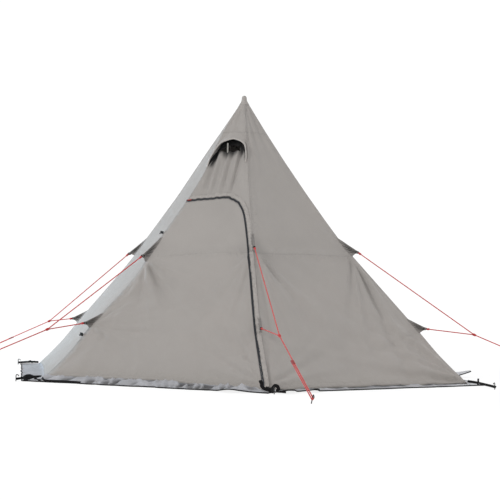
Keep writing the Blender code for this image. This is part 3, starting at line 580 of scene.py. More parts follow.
def fan(across, height, corner_across, corner_height, inward, row, seed):
    """Straight folds that run from one pulled point into the cloth and die away."""
    first, last, count, depth, reach = row
    draw = np.random.default_rng(seed)
    right, above = (across - corner_across) * inward, (height - corner_height) * FOLD_STRETCH
    total = np.zeros_like(right)
    for number in range(count):
        angle = math.radians(first + (last - first) * (number + draw.uniform(*FOLD_PLACES)) / count)
        run = right * math.cos(angle) + above * math.sin(angle)
        off = above * math.cos(angle) - right * math.sin(angle)
        ahead = np.clip(run, 0, None)
        width = draw.uniform(*FOLD_WIDTHS) + draw.uniform(*FOLD_GAINS) * ahead
        size = depth * draw.uniform(*FOLD_SIZES) * draw.choice(FOLD_WAYS)
        total += size * smooth(ahead, 0.0, FOLD_START) * np.exp(-ahead / (reach * draw.uniform(*FOLD_REACHES))) \
            * np.exp(-(off / width) ** 2) * (run > 0)
    return total


def level_seam(side, across, height):
    """Height of the level seam, drawn down beside the low upper tab."""
    part = np.clip((across - side.left(height)) / np.maximum(side.right(height) - side.left(height), 0.01), 0, 1)
    if side.name == "left_front":
        part = 1 - part
    return LEVEL_SEAM - (LEVEL_DIP * (1 - part) ** 2.2 if side.name in ("front", "left_front") else 0)


# Slack cloth under a hood: half its width, the heights over which its folds come and go, two rows of folds as
# (wavelength, size), and how far it hangs in
SLACK_HALF = 0.185
SLACK_LEVELS = (1.44, 1.66, 2.0)
SLACK_FOLDS = ((0.078, 0.0095), (0.043, 0.0035))
SLACK_SINK = 0.012
# The painted shade under a hood, where its shadow falls: heights with its half widths, and with its left edge
HOOD_SHADE_LEVELS, HOOD_SHADE_HALVES = (1.72, 1.753, 1.836, 1.92, 2.0, 2.064), (0.166, 0.164, 0.150, 0.126, 0.090, 0.030)
HOOD_SHADE_EDGE_LEVELS, HOOD_SHADE_EDGES = (1.74, 1.808, 1.872, 1.935, 1.96), (-0.171, -0.158, -0.128, -0.080, -0.03)
HOOD_SHADE_TOP = 2.06
HOOD_SHADE_DEPTH = 0.97
# Painted shade's lower edge fingers as (size, wavelength, phase), and the dip where the stay stands: size, place,
# width
HOOD_SHADE_FINGERS = ((0.016, 0.078, 0.4), (0.008, 0.041, 0.0))
HOOD_SHADE_DIP = (0.045, -0.012, 0.026)


def vent_folds(across, height):
    """Upright folds in the slack cloth under a hood."""
    begin, full, top = SLACK_LEVELS
    inside = smooth(SLACK_HALF - np.abs(across), 0.0, 0.05) * smooth(height, begin, full)
    inside = inside * smooth(top - height, 0.0, 0.12)
    (length, size), (fine_length, fine_size) = SLACK_FOLDS
    waves = np.cos(across * 2 * math.pi / length + 0.9 + (height - 1.7) * across * 6)
    fine = np.cos(across * 2 * math.pi / fine_length + 2.0 + height * 3)
    return inside * (size * waves + fine_size * fine - SLACK_SINK)


def vent_shade(side, across, height):
    """Painted shade on the cloth just under a hood, where the hood's shadow falls: 1 is dark."""
    if side.name not in ("front", "back"):
        return np.zeros(np.broadcast(across, height).shape)
    inside = smooth(np.interp(height, HOOD_SHADE_LEVELS, HOOD_SHADE_HALVES) - np.abs(across - 0.002), 0.0, 0.012)
    size, middle, wide = HOOD_SHADE_DIP
    rise = -size * np.exp(-((across - middle) / wide) ** 2)
    rise = rise + sum(size * np.cos(across * 2 * math.pi / length + phase) for size, length, phase in HOOD_SHADE_FINGERS)
    above = smooth(height, 1.838 + rise, 1.925 + rise)
    edge = np.interp(height, HOOD_SHADE_EDGE_LEVELS, HOOD_SHADE_EDGES)
    beside = (1 - smooth(across - edge, 0.016, 0.052)) * smooth(height, 1.742, 1.79)
    other = (1 - smooth(0.160 - across, 0.004, 0.030)) * smooth(height, 1.80, 1.86)
    return HOOD_SHADE_DEPTH * inside * np.maximum(above, np.maximum(beside, other)) * (height < HOOD_SHADE_TOP)


# Swells of a side's cloth as (size, wavelength, seed), the one that gathers at the crown with its heights, and the
# distance from a seam at which they are whole
SWELLS = ((0.0060, 0.62, 11), (0.0020, 0.25, 31))
CROWN_SWELL, CROWN_SWELL_LEVELS = (0.0042, 0.42, 91), (1.5, 2.1, 2.28, 2.36)
SWELL_EDGE = 0.05
# Puckers along the level seams and the corner seams, how far they reach, and the level seams' raised band
LEVEL_PUCKER, CORNER_PUCKER, PUCKER_REACH = (0.0016, 0.085, 51), (0.0022, 0.075, 71), 0.035
LEVEL_RAISE, LEVEL_BAND, BAND_EDGE = 0.0010, 0.006, 0.003
# Groove beside the door's right seam: depth, distance from the seam, half its width
GROOVE = (0.0045, 0.022, 0.013)


def lift(side, across, height):
    """How far the cloth stands off its plain surface."""
    to_start, to_end = across - side.left(height), side.right(height) - across
    nearest = np.minimum(to_start, to_end)
    inner = smooth(nearest, 0.0, SWELL_EDGE)
    total = sum(size * ripple(across, height, length, seed + side.index) for size, length, seed in SWELLS)
    size, length, seed = CROWN_SWELL
    radial = ripple(across / (share(height) + 0.02), height * 0.3, length, seed + side.index)
    begin, full, fade, top = CROWN_SWELL_LEVELS
    total = total + size * radial * smooth(height, begin, full) * (1 - smooth(height, fade, top))
    total = total * inner
    for order, (corner, edge, inward) in enumerate(((side.start, side.left, 1), (side.end, side.right, -1))):
        for number, row in enumerate(FANS.get((side.name, corner), PLAIN_FANS)):
            at = tab_shares(corner, number)[0] * HEIGHT + FAN_RAISE if number < 2 else GROUND_FAN
            seed = 100 + side.index * 10 + number * 2 + order
            folds = fan(across, height, edge(at), at, inward, row, seed)
            total = total + folds * smooth(nearest, 0.0, FAN_FADE)
    if side.name in ("front", "back"):
        total = total + vent_folds(across, height)
    ridge = SEAM_RAISE * (1 - smooth(nearest, SEAM_BAND, SEAM_BAND + 0.002))
    depth, middle, wide = GROOVE
    groove = np.exp(-((to_start - middle) / wide) ** 2) * smooth(height, 1.5, 1.95) * (side.name == "right_front")
    total = total - depth * groove
    for level in (level_seam(side, across, height), CROWN_SEAM):
        near = np.abs(height - level)
        total = total + LEVEL_RAISE * (1 - smooth(near, LEVEL_BAND, LEVEL_BAND + BAND_EDGE)) * inner
        size, length, seed = LEVEL_PUCKER
        pucker = ripple(across, height * 0.4, length, seed + side.index)
        total = total + size * pucker * np.exp(-near / PUCKER_REACH) * inner
    size, length, seed = CORNER_PUCKER
    pucker = ripple(height, height * 0.2, length, seed + side.index)
    total = total + size * pucker * np.exp(-nearest / PUCKER_REACH) * smooth(to_start, 0, 0.02) \
        * smooth(to_end, 0, 0.02)
    return total + ridge


def on_cloth(side, across, height, raised=0.0):
    """Points on the folded cloth of a side, or so far off it."""
    return side.place(across, height, lift(side, across, height) + raised)


# Slant of the cloth at the level seams, at the crown's and at the hem, whose stitching is so far above it
SEAM_SLANT, CROWN_SLANT, HEM_SLANT, HEM_STITCH = 1.2, 1.1, 1.3, 0.022


def marks(side, across, height):
    """Distance to the nearest seam and the place along it, for the stitching."""
    slant = 1 / math.hypot(1, side.high / HEIGHT)
    runs = [height * SEAM_SLANT, height * SEAM_SLANT, across, across, across]
    offs = [
        (across - side.left(height)) * slant, (side.right(height) - across) * slant,
        np.abs(height - level_seam(side, across, height)) * SEAM_SLANT, np.abs(height - CROWN_SEAM) * CROWN_SLANT,
        np.abs(height - hem_across(side, across / np.maximum(share(height), 0.05)) - HEM_STITCH) * HEM_SLANT,
    ]
    offs, runs = np.array(np.broadcast_arrays(*offs)), np.array(np.broadcast_arrays(*runs))
    nearest = offs.argmin(0)
    return np.take_along_axis(offs, nearest[None], 0)[0], np.take_along_axis(runs, nearest[None], 0)[0]


# Meshes
def mesh_piece(name, points, faces, look, layers=None):
    mesh = bpy.data.meshes.new(name)
    mesh.from_pydata(np.asarray(points).tolist(), [], [tuple(int(i) for i in face) for face in faces])
    for layer, values in (layers or {}).items():
        mesh.attributes.new(layer, "FLOAT", "POINT").data.foreach_set("value", np.asarray(values, np.float32))
    mesh.update()
    mesh.materials.append(look)
    for face in mesh.polygons:
        face.use_smooth = True
    return linked(name, mesh)


def grid_faces(ids):
    a, b, c, d = ids[:-1, :-1], ids[:-1, 1:], ids[1:, 1:], ids[1:, :-1]
    return np.stack([a, b, c, d], -1).reshape(-1, 4)


def grid_ids(grid):
    return np.arange(grid.shape[0] * grid.shape[1]).reshape(grid.shape[:2])


def grid_piece(name, grid, look, layers=None):
    """A sheet through a grid of points."""
    return mesh_piece(name, grid.reshape(-1, 3), grid_faces(grid_ids(grid)), look, layers)


def ring_piece(name, grid, look, caps=True, way=1):
    """Rings of points joined into a tube, with flat ends; way -1 turns its faces over."""
    ids = grid_ids(grid)
    faces = list(grid_faces(np.concatenate([ids, ids[:, :1]], 1)[:, ::way]))
    if caps:
        faces += [tuple(ids[0][::-way]), tuple(ids[-1][::way])]
    return mesh_piece(name, grid.reshape(-1, 3), faces, look)


def thicken(thing, thickness, offset=-1.0):
    change = thing.modifiers.new("thickness", "SOLIDIFY")
    change.thickness = thickness
    change.offset = offset
    change.use_even_offset = False
    return thing


def on_tent(slot, piece, *nodes):
    """Lets a piece stay with the tent's fixed body and stand for those CAD nodes."""
    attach(piece, "tent")
    if nodes:
        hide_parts(*nodes)
    return piece


def length_of(line):
    return float(np.linalg.norm(np.diff(line, axis=0), axis=1).sum())


def courses(line):
    """Unit directions along a line."""
    ahead = np.gradient(np.asarray(line, float), axis=0)
    return ahead / np.linalg.norm(ahead, axis=1)[:, None]


def spaced(line, step):
    """The line again with points about that far apart."""
    line = np.asarray(line, float)
    along = np.concatenate([[0], np.cumsum(np.linalg.norm(np.diff(line, axis=0), axis=1))])
    at = np.linspace(0, along[-1], max(2, math.ceil(along[-1] / step) + 1))
    return np.stack([np.interp(at, along, line[:, k]) for k in range(line.shape[1])], 1)


def resampled(line, count):
    """The line as count + 1 points, evenly chosen among its own."""
    at, own = np.linspace(0, 1, count + 1), np.linspace(0, 1, len(line))
    return np.stack([np.interp(at, own, line[:, k]) for k in (0, 1)], 1)


def curve_through(points, steps):
    """More points on a smooth line through the given ones."""
    points = np.asarray(points, float)
    line = np.concatenate([[2 * points[0] - points[1]], points, [2 * points[-1] - points[-2]]])
    made = []
    for before, one, two, after in zip(line, line[1:], line[2:], line[3:]):
        for step in range(steps):
            t = step / steps
            made.append(0.5 * (2 * one + (two - before) * t + (2 * before - 5 * one + 4 * two - after) * t * t
                               + (3 * one - before - 3 * two + after) * t * t * t))
    return np.array([*made, points[-1]])


def tube_piece(name, line, radius, look, around=8, hint=(0, 0, 1), caps=True):
    """A round tube along a line, its rings turning as little as they can; radius is one number or one a point."""
    line = np.asarray(line, float)
    ahead = courses(line)
    side = np.array(hint, float)
    sides = []
    for course in ahead:
        side = unit(side - course * (side @ course))
        sides.append(side)
    sides = np.array(sides)
    aboves = np.cross(ahead, sides)
    angles = np.linspace(0, 2 * math.pi, around, endpoint=False)
    radius = np.broadcast_to(radius, len(line))[:, None, None]
    ring = sides[:, None] * np.cos(angles)[None, :, None] + aboves[:, None] * np.sin(angles)[None, :, None]
    return ring_piece(name, line[:, None] + ring * radius, look, caps, -1)


# Half of a strap's section, in shares of its width and thickness
STRAP_SECTION = ((-0.5, 0.0), (-0.46, 0.5), (0.0, 0.56), (0.46, 0.5))


def strap_piece(name, line, wide, thick, look, across):
    """A flat strap along a line; its width lies along the across direction."""
    line = np.asarray(line, float)
    ahead = courses(line)
    across = np.broadcast_to(across, line.shape)
    across = across - ahead * (across * ahead).sum(1)[:, None]
    across = across / np.linalg.norm(across, axis=1)[:, None]
    above = np.cross(ahead, across)
    section = [*STRAP_SECTION, *((-a, -b) for a, b in STRAP_SECTION)]
    return ring_piece(name, np.stack([line + across * wide * a + above * thick * b for a, b in section], 1), look)


# Guy lines
CORD_STEP = 0.04
STRAND_STEP = 0.03
BRANCH_START = 0.0015
# Knots as (turns, radius), and where they sit on their lines
FORK_KNOT, PEG_KNOT, TIE_KNOT = (4.0, 0.0062), (2.0, 0.0050), (3.0, 0.0050)
PEG_KNOT_BACK, TIE_OFF = 0.004, 0.021
KNOT_STEPS = 14
KNOT_PITCH = CORD_RADIUS * 1.7


def tab_shares(corner, order):
    return TAB_MOVES.get((corner, order), TAB_SHARES[order])


def tab_tip(corner, order):
    out = TAB_OUTS.get((corner, order), TAB_OUT)
    return seam_place(corner, tab_shares(corner, order)[3] * HEIGHT) + unit(CORNERS[corner]) * out


def outward(corner, turn):
    """The level direction out of a corner, turned by some degrees."""
    radial, turn = unit(CORNERS[corner]), math.radians(turn)
    return np.array((radial[0] * math.cos(turn) - radial[1] * math.sin(turn),
                     radial[0] * math.sin(turn) + radial[1] * math.cos(turn), 0))


def guy_frame(corner, junction_out, junction_height, peg_out, turn):
    """Where a line forks and where its peg holds it, its course, and the level direction across it."""
    away = outward(corner, turn)
    junction = CORNERS[corner] + away * junction_out * GUY_REACH + UP * junction_height * GUY_REACH
    foot = CORNERS[corner] + away * peg_out * GUY_REACH + UP * LINE_FOOT
    return junction, foot, unit(foot - junction), unit(np.cross(UP, away))


def cord_curve(name, points, look):
    """A cord as one open spline."""
    data = bpy.data.curves.new(name, "CURVE")
    data.dimensions = "3D"
    data.bevel_depth = CORD_RADIUS
    data.bevel_resolution = 3
    data.use_fill_caps = True
    spline = data.splines.new("POLY")
    spline.points.add(len(points) - 1)
    for place, point in zip(spline.points, points):
        place.co = (*point, 1)
    data.materials.append(look)
    return linked(name, data)


def hitch(name, centre, course, look, knot):
    """A small wound knot round a line."""
    turns, radius = knot
    side = unit(np.cross(course, UP))
    above = np.cross(course, side)
    line = []
    for part in np.linspace(0, 1, int(turns * KNOT_STEPS) + 1):
        angle = 2 * math.pi * turns * part
        reach = radius * (0.8 + 0.35 * math.sin(math.pi * part))
        line.append(centre + (side * math.cos(angle) + above * math.sin(angle)) * reach
                    + course * (part - 0.5) * turns * KNOT_PITCH)
    return on_tent("red_cord", tube_piece(name, line, CORD_RADIUS * 0.95, look, 8, course))


def add_guy(row, red):
    """A forked line: two branches, the run to the peg, and the strand back to its runner."""
    corner = row[0]
    junction, foot, course, sideways = guy_frame(*row)
    half = sideways * STRAND_APART / 2
    top = junction + half
    angles = np.linspace(0, math.pi, 9)
    loop = [foot + (sideways * math.cos(a) + course * math.sin(a)) * STRAND_APART / 2 for a in angles]
    main = np.array([*spaced([top, loop[0]], CORD_STEP), *loop[1:]])
    line = on_tent("red_cord", cord_curve("guy_run_" + corner, main, red), "guy_line_" + corner)
    runner_at = junction + (foot - junction) * RUNNER_SHARE
    back = spaced([loop[-1], runner_at - half - course * STRAND_END], STRAND_STEP)
    strand = tube_piece("guy_strand_" + corner, back, CORD_RADIUS, red, 8, sideways)
    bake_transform(strand)
    knots = [hitch("guy_knot_" + corner, top, course, red, FORK_KNOT),
             hitch("guy_peg_knot_" + corner, loop[4] - course * PEG_KNOT_BACK, sideways, red, PEG_KNOT)]
    cords = []
    for order, name in enumerate(("upper", "lower")):
        tip = tab_tip(corner, order)
        away = unit(top - tip)
        path = spaced([tip + away * BRANCH_START, top], CORD_STEP)
        cords.append((on_tent("red_cord", cord_curve(f"guy_branch_{name}_{corner}", path, red)), path, {}))
        hitch(f"guy_tie_{name}_{corner}", tip + away * TIE_OFF, away, red, TIE_KNOT)
    cords += [(line, main, {"with_pieces": knots}), (strand, back, {"path": back})]


# Door and zip lines on the door side
# Wobble of the zip over its arch: size, wavelength, seed, and the heights over which it begins
ZIP_WOBBLE, ZIP_WOBBLE_LENGTH, ZIP_WOBBLE_SEED = 0.0034, 0.060, 5
ZIP_WOBBLE_LEVELS = (1.395, 1.45)


def beside(line, offset):
    """The line moved sideways; a positive offset is away from the door."""
    course = courses(line)
    return line + np.stack([-course[:, 1], course[:, 0]], 1) * offset


def zip_line():
    """The zip's middle line as (across, height) from the left seam to the hem, a little wavy over the arch."""
    height = ZIP_LEFT_HEIGHT_SHARE * HEIGHT
    start = (float(SIDES["front"].left(height)) + ZIP_LEFT_INSET, height)
    arch = [(across * HALF_FRONT, level * HEIGHT) for across, level in ZIP_ARCH_SHARES]
    side = [(HALF_FRONT * (share(level * HEIGHT) - inset), level * HEIGHT) for level, inset in ZIP_SIDE_SHARES]
    whole = np.concatenate([[start], curve_through([*arch, side[0]], 8), curve_through(side, 6)[1:]])
    line = spaced(whole, DOOR_STEP)
    run = np.arange(len(line)) * DOOR_STEP
    wobble = ZIP_WOBBLE * ripple(run, run * 0, ZIP_WOBBLE_LENGTH, ZIP_WOBBLE_SEED)
    return beside(line, (wobble * smooth(line[:, 1], *ZIP_WOBBLE_LEVELS))[:, None])


ZIP = zip_line()


def door_outline(offset):
    """The zip line at an offset, as its top part up to the arch's end and its side part below."""
    line = beside(ZIP, offset)
    turn = int(np.abs(line[:, 1] - ARCH_END_SHARE * HEIGHT)[len(line) // 6:].argmin()) + len(line) // 6
    return line[:turn + 1], line[turn:]


def knots_of(corner, door_top):
    return CORNER_HEMS.get(corner, HEM_CLEAR), LOW_KNOT, LEVEL_SEAM, door_top, CROWN_SEAM, CROWN


def rows_between(knots, counts=ROW_COUNTS):
    rows = [knots[0]]
    for low, high, count in zip(knots, knots[1:], counts):
        rows += list(np.linspace(low, high, count + 1)[1:])
    return np.array(rows)


FRAME_TOP, FRAME_SIDE = door_outline(ZIP_EDGE)
FLAP_TOP, FLAP_SIDE = door_outline(-ZIP_EDGE)
DOOR_ROW = sum(ROW_COUNTS[:3])
DOOR_TOPS = {"front_left": FRAME_TOP[0, 1], "front_right": FRAME_TOP[-1, 1]}
ROWS = {corner: rows_between(knots_of(corner, DOOR_TOPS.get(corner, PLAIN_KNOT))) for corner in CORNERS}


def with_hem(side, across, height):
    """Low rows follow the hem's curve, which rises between corners."""
    rise = hem_rise(side, across / share(height))
    return height + rise * np.clip(1 - (height - HEM_CLEAR) / HEM_FADE, 0, 1)


def row_parts(width, columns):
    """Places across one row: close together at both seams and even between."""
    near = np.array(SEAM_STEPS) * min(1.0, width / WIDE_ENOUGH) / width
    even = np.linspace(0, 1, columns - 2 * len(near) + 1)
    even = even - COLUMN_CROWDING * np.sin(2 * math.pi * even) / (2 * math.pi)
    inner = near[-1] + (1 - 2 * near[-1]) * even
    return np.concatenate([[0], near[:-1], inner, 1 - near[-2::-1], [1]])


def between(starts, ends, parts):
    """Rows of values from starts to ends."""
    return starts[:, None] + (ends - starts)[:, None] * parts


def bulge_of(line, start, end):
    """A line's places as shares of its width, and how far it stands above the straight one between two heights."""
    parts = (line[:, 0] - line[0, 0]) / (line[-1, 0] - line[0, 0])
    return parts, line[:, 1] - (start + (end - start) * parts)


class Cloth:
    """Points and faces of one sheet, with its stitching marks and its painted shade."""

    def __init__(self):
        self.points, self.faces, self.count = [], [], 0
        self.layers = {"seam_off": [], "seam_run": [], "shade": []}

    def add(self, side, across, height):
        """New points on a side, as their numbers in the same shape."""
        points = on_cloth(side, across, height)
        return self.keep(points, *marks(side, across, height), vent_shade(side, across, height))

    def keep(self, points, *values):
        shape = points.shape[:-1]
        size = int(np.prod(shape))
        for layer, value in zip(self.layers.values(), values):
            layer.append(np.broadcast_to(value, shape).reshape(-1))
        self.points.append(points.reshape(-1, 3))
        self.count += size
        return np.arange(self.count - size, self.count).reshape(shape)

    def fill(self, side, across, height, left, right):
        """New points and faces between two seams, whose points are given by number."""
        ids = np.empty(across.shape, int)
        ids[:, 1:-1] = self.add(side, across[:, 1:-1], height[:, 1:-1])
        ids[:, 0], ids[:, -1] = left, right
        self.faces.append(grid_faces(ids))
        return ids

    def made(self, name, look):
        layers = {layer: np.concatenate(values) for layer, values in self.layers.items()}
        return mesh_piece(name, np.concatenate(self.points), np.concatenate(self.faces), look, layers)


def seam_points(corner):
    """Points down one corner seam, midway between what its two sides say."""
    rows = ROWS[corner]
    halves = []
    for side in SIDES.values():
        for end, across in ((side.start, side.left(rows)), (side.end, side.right(rows))):
            if end == corner:
                halves.append(on_cloth(side, across, rows))
    return (halves[0] + halves[1]) / 2


def plain_side(cloth, side, seams):
    low, high = ROWS[side.start], ROWS[side.end]
    left, right = side.left(low), side.right(high)
    parts = np.array([row_parts(width, COLUMNS) for width in right - left])
    across = between(left, right, parts)
    height = with_hem(side, across, between(low, high, parts))
    cloth.fill(side, across, height, seams[side.start], seams[side.end])


def side_at(line, heights):
    """Across places of a falling line at the given heights."""
    return np.interp(heights, line[::-1, 1], line[::-1, 0])


DOOR_COLUMNS = 96
PLACKET_COLUMNS = 9


def door_side(cloth, side, seams):
    """The door side round its opening: the part above the zip, and the narrow placket beside it."""
    left, right = ROWS["front_left"][DOOR_ROW:], ROWS["front_right"][DOOR_ROW:]
    arch = resampled(spaced(FRAME_TOP, length_of(FRAME_TOP) / DOOR_COLUMNS)[:DOOR_COLUMNS + 1], DOOR_COLUMNS)
    edge = side.high * share(right[0])
    level = np.linspace(arch[-1, 0], edge, PLACKET_COLUMNS + 1)[1:]
    bottom = np.concatenate([arch, np.stack([level, np.full(PLACKET_COLUMNS, right[0])], 1)])
    bottom[0] = side.left(left[0]), left[0]
    parts, bulge = bulge_of(bottom, left[0], right[0])
    fade = 1 - smooth(np.arange(len(left)) / ROW_COUNTS[3], 0, 1)
    across = between(side.left(left), side.right(right), parts)
    height = between(left, right, parts) + bulge * fade[:, None]
    ids = cloth.fill(side, across, height, seams["front_left"][DOOR_ROW:], seams["front_right"][DOOR_ROW:])

    rows = ROWS["front_right"][:DOOR_ROW + 1]
    across = between(side_at(FRAME_SIDE, rows), side.high * share(rows), np.linspace(0, 1, PLACKET_COLUMNS + 1))
    height = with_hem(side, across, np.repeat(rows[:, None], PLACKET_COLUMNS + 1, 1))
    low = np.empty(across.shape, int)
    low[:-1, :-1] = cloth.add(side, across[:-1, :-1], height[:-1, :-1])
    low[:, -1] = seams["front_right"][:DOOR_ROW + 1]
    low[-1] = ids[0, DOOR_COLUMNS:]
    cloth.faces.append(grid_faces(low))


def cut_vent(thing, side):
    """Cuts the vent's hole out of the sheet."""
    corners = [side.place(a * HALF_FRONT, z * HEIGHT) for a, z in VENT_HOLE_SHARES]
    middle = sum(corners) / 4
    normal = unit(np.cross(corners[1] - corners[0], corners[3] - corners[0]))
    edges = [(one, unit(np.cross(two - one, normal))) for one, two in zip(corners, corners[1:] + corners[:1])]
    reach = 1.3 * max(np.linalg.norm(corner - middle) for corner in corners)
    build = bmesh.new()
    build.from_mesh(thing.data)
    near = [f for f in build.faces if (f.calc_center_median() - Vector(middle)).length < reach]
    for place, away in edges:
        parts = {*near, *(e for f in near for e in f.edges), *(v for f in near for v in f.verts)}
        cut = bmesh.ops.bisect_plane(build, geom=list(parts), plane_co=Vector(place), plane_no=Vector(away))
        near = [item for item in cut["geom"] if isinstance(item, bmesh.types.BMFace)]
    inside = [f for f in near if all((np.array(f.calc_center_median()) - place) @ away < 0 for place, away in edges)]
    bmesh.ops.delete(build, geom=inside, context="FACES")
    build.to_mesh(thing.data)
    build.free()


def add_canopy(look):
    """One sheet over all six sides, with the door and both vents left open."""
    cloth = Cloth()
    seams = {corner: cloth.keep(seam_points(corner), 0.0, rows * SEAM_SLANT, 0.0) for corner, rows in ROWS.items()}
    for name, side in SIDES.items():
        draw = door_side if name == "front" else plain_side
        draw(cloth, side, seams)
    canopy = cloth.made("canopy", look)
    for name in ("front", "back"):
        cut_vent(canopy, SIDES[name])
    thicken(canopy, CANOPY_THICK)
    on_tent("canopy_cloth", canopy, "door_panel", *(name + "_panel" for name in SIDE_NAMES[1:]))


def across_hinge(thing):
    """Bakes the piece's placement into its mesh; the direction across the hinge seam is worked out but not used."""
    low = CORNERS["front_left"]
    high = low * rest_share(ZIP_LEFT_HEIGHT_SHARE) + UP * ZIP_LEFT_HEIGHT_SHARE * HEIGHT
    along = SIDES["front"].along
    into = unit(np.cross(unit(np.cross(along, high - low)), high - low))
    into = into * math.copysign(1, into @ along)
    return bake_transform(thing)


def add_flap(look):
    """The door's cloth from its hinge seam to the zip."""
    side = SIDES["front"]
    counts = ROW_COUNTS[:3]
    left = rows_between(knots_of("front_left", FLAP_TOP[0, 1])[:4], counts)
    right = rows_between(knots_of("front_right", FLAP_TOP[-1, 1])[:4], counts)
    starts, ends = side.left(left), side_at(FLAP_SIDE, right)
    ends[-1] = FLAP_TOP[-1, 0]
    top = resampled(FLAP_TOP, COLUMNS)
    top[0] = starts[-1], left[-1]
    parts, bulge = bulge_of(top, left[-1], right[-1])
    fade = smooth(np.arange(len(left)) - counts[0] - counts[1], 0, counts[2])
    across = between(starts, ends, parts)
    height = with_hem(side, across, between(left, right, parts) + bulge * fade[:, None])
    cloth = Cloth()
    cloth.faces.append(grid_faces(cloth.add(side, across, height)))
    flap = thicken(cloth.made("door_flap_cloth", look), CANOPY_THICK)
    across_hinge(flap)
    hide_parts("door_flap")


# Zip tapes and placket across their width, as (distance from the zip's line, lift)
FRAME_TAPE = ((0.0008, -0.0004), (0.004, 0.0), (0.0125, -0.0010))
DOOR_TAPE = ((-0.0070, 0.0018), (-0.004, 0.0014), (-0.0008, -0.0004))
PLACKET = (
    (0.0096, -0.0006), (0.0098, 0.0030), (0.0114, 0.0042), (0.014, 0.0022), (0.020, 0.0034), (0.030, 0.0034),
    (0.038, 0.0020), (0.0415, 0.0040), (0.0435, 0.0026), (0.0440, -0.0006),
)
TAPE_THICK = 0.0006
TEETH_OFF, TEETH_LIFT, TEETH_STEP, TEETH_RADII = 0.0014, 0.0006, 0.0026, (0.0017, 0.0011)
PLACKET_START = 2  # points of the zip's line left out at the seam
PLACKET_STEP, PLACKET_WAVES = 0.006, 0.0042
PLACKET_SHADE, PLACKET_SHADE_WIDE = 0.42, 0.003  # painted shade along its stitched edges
STRIP_RIPPLE, EDGE_SHADE_RIPPLE = (0.036, 9), (0.05, 12)  # wavelength and seed of its waves and of its painted edge shade


def strip_on_door(name, line, profile, look, step=DOOR_STEP, waviness=0.0, sewn=False):
    """A strip along a line on the door side; profile holds (offset, lift) pairs."""
    side = SIDES["front"]
    line = spaced(line, step)
    run = np.arange(len(line)) * step
    grid = []
    for offset, raised in profile:
        moved = beside(line, offset)
        base = lift(side, line[:, 0], line[:, 1]) * 0.5 + lift(side, moved[:, 0], moved[:, 1]) * 0.5
        wavy = waviness * ripple(run + offset, run * 0 + offset * 2, *STRIP_RIPPLE) * (raised > 0)
        grid.append(side.place(moved[:, 0], moved[:, 1], base + raised + wavy))
    layers = None
    if sewn:
        offsets = np.array([offset for offset, _ in profile])
        off = np.minimum(np.abs(offsets - offsets[1]), np.abs(offsets - offsets[-2]))
        # Painted shade along the placket's stitched edges, where its folded edges cast shadow lines
        darkened = PLACKET_SHADE * np.exp(-(off / PLACKET_SHADE_WIDE) ** 2)
        darkened = darkened * (0.6 + 0.4 * ripple(run, run * 0, *EDGE_SHADE_RIPPLE)[:, None])
        layers = {"seam_off": np.tile(off, len(line)), "seam_run": np.repeat(run, len(offsets)),
                  "shade": np.clip(darkened, 0, 1).reshape(-1)}
    return grid_piece(name, np.stack(grid, 1), look, layers)


def add_zip(tape, teeth, cloth):
    """The zip's two tapes with their teeth, and the placket beside it."""
    side = SIDES["front"]
    tapes = [thicken(strip_on_door(name, ZIP, profile, tape), TAPE_THICK)
             for name, profile in (("zip_tape_frame", FRAME_TAPE), ("zip_tape_door", DOOR_TAPE))]
    coils = []
    for name, offset in (("zip_teeth_frame", TEETH_OFF), ("zip_teeth_door", -TEETH_OFF)):
        line = spaced(beside(ZIP, offset), TEETH_STEP)
        path = on_cloth(side, line[:, 0], line[:, 1], TEETH_LIFT)
        coils.append(tube_piece(name, path, np.where(np.arange(len(line)) % 2, *TEETH_RADII), teeth, 6))
    on_tent("zip_tape", tapes[0], "door_zip")
    on_tent("zip_tape", coils[0])
    for piece in (tapes[1], coils[1]):
        across_hinge(piece)
    line = ZIP[PLACKET_START:]
    placket = strip_on_door("zip_placket", line, PLACKET, cloth, PLACKET_STEP, PLACKET_WAVES, True)
    on_tent("canopy_cloth", placket)


# Hoods and vents
HOOD_ROWS, HOOD_THICK = 15, 0.001
HOOD_OFF, HOOD_SINK = 0.0014, 0.0030  # its distance from the cloth, and how far its sewn edge goes in
PIPING, PIPING_STEP = 0.0058, 0.008
# The net: rows, how far it hangs down, its top edge as a share of the way from lip to root, and its lift
NET_ROWS, NET_DEPTH, NET_START, NET_LIFT, NET_THICK = 7, 0.055, 0.34, 0.0018, 0.0008


def hood_lines():
    lip = curve_through([(a * HALF_FRONT, z * HEIGHT, up * HOOD_LIFT) for a, z, up in HOOD_LIP_SHARES], 7)
    root = curve_through([(a * HALF_FRONT, z * HEIGHT, 0.0) for a, z in HOOD_ROOT_SHARES], 7)
    return root, lip


def add_hood(name, look, piping, net):
    """A hood over a vent, its piped lip and the net inside."""
    side = SIDES[name]
    root, lip = hood_lines()
    grid = []
    for part in np.linspace(0, 1, HOOD_ROWS):
        line = root + (lip - root) * part
        raised = lip[:, 2] * part ** 1.7 + HOOD_OFF - HOOD_SINK * (1 - part) ** 6
        base = lift(side, root[:, 0], root[:, 1]) * (1 - part)
        grid.append(side.place(line[:, 0], line[:, 1], raised + base))
    grid = np.array(grid)
    hood = thicken(grid_piece("hood_" + name, grid[::-1], look), HOOD_THICK, 0.0)
    on_tent("crown_cloth", hood, "vent_hood_" + name)
    on_tent("crown_cloth", tube_piece("hood_piping_" + name, spaced(grid[-1], PIPING_STEP), PIPING, piping))
    add_net(name, side, root, lip, net)


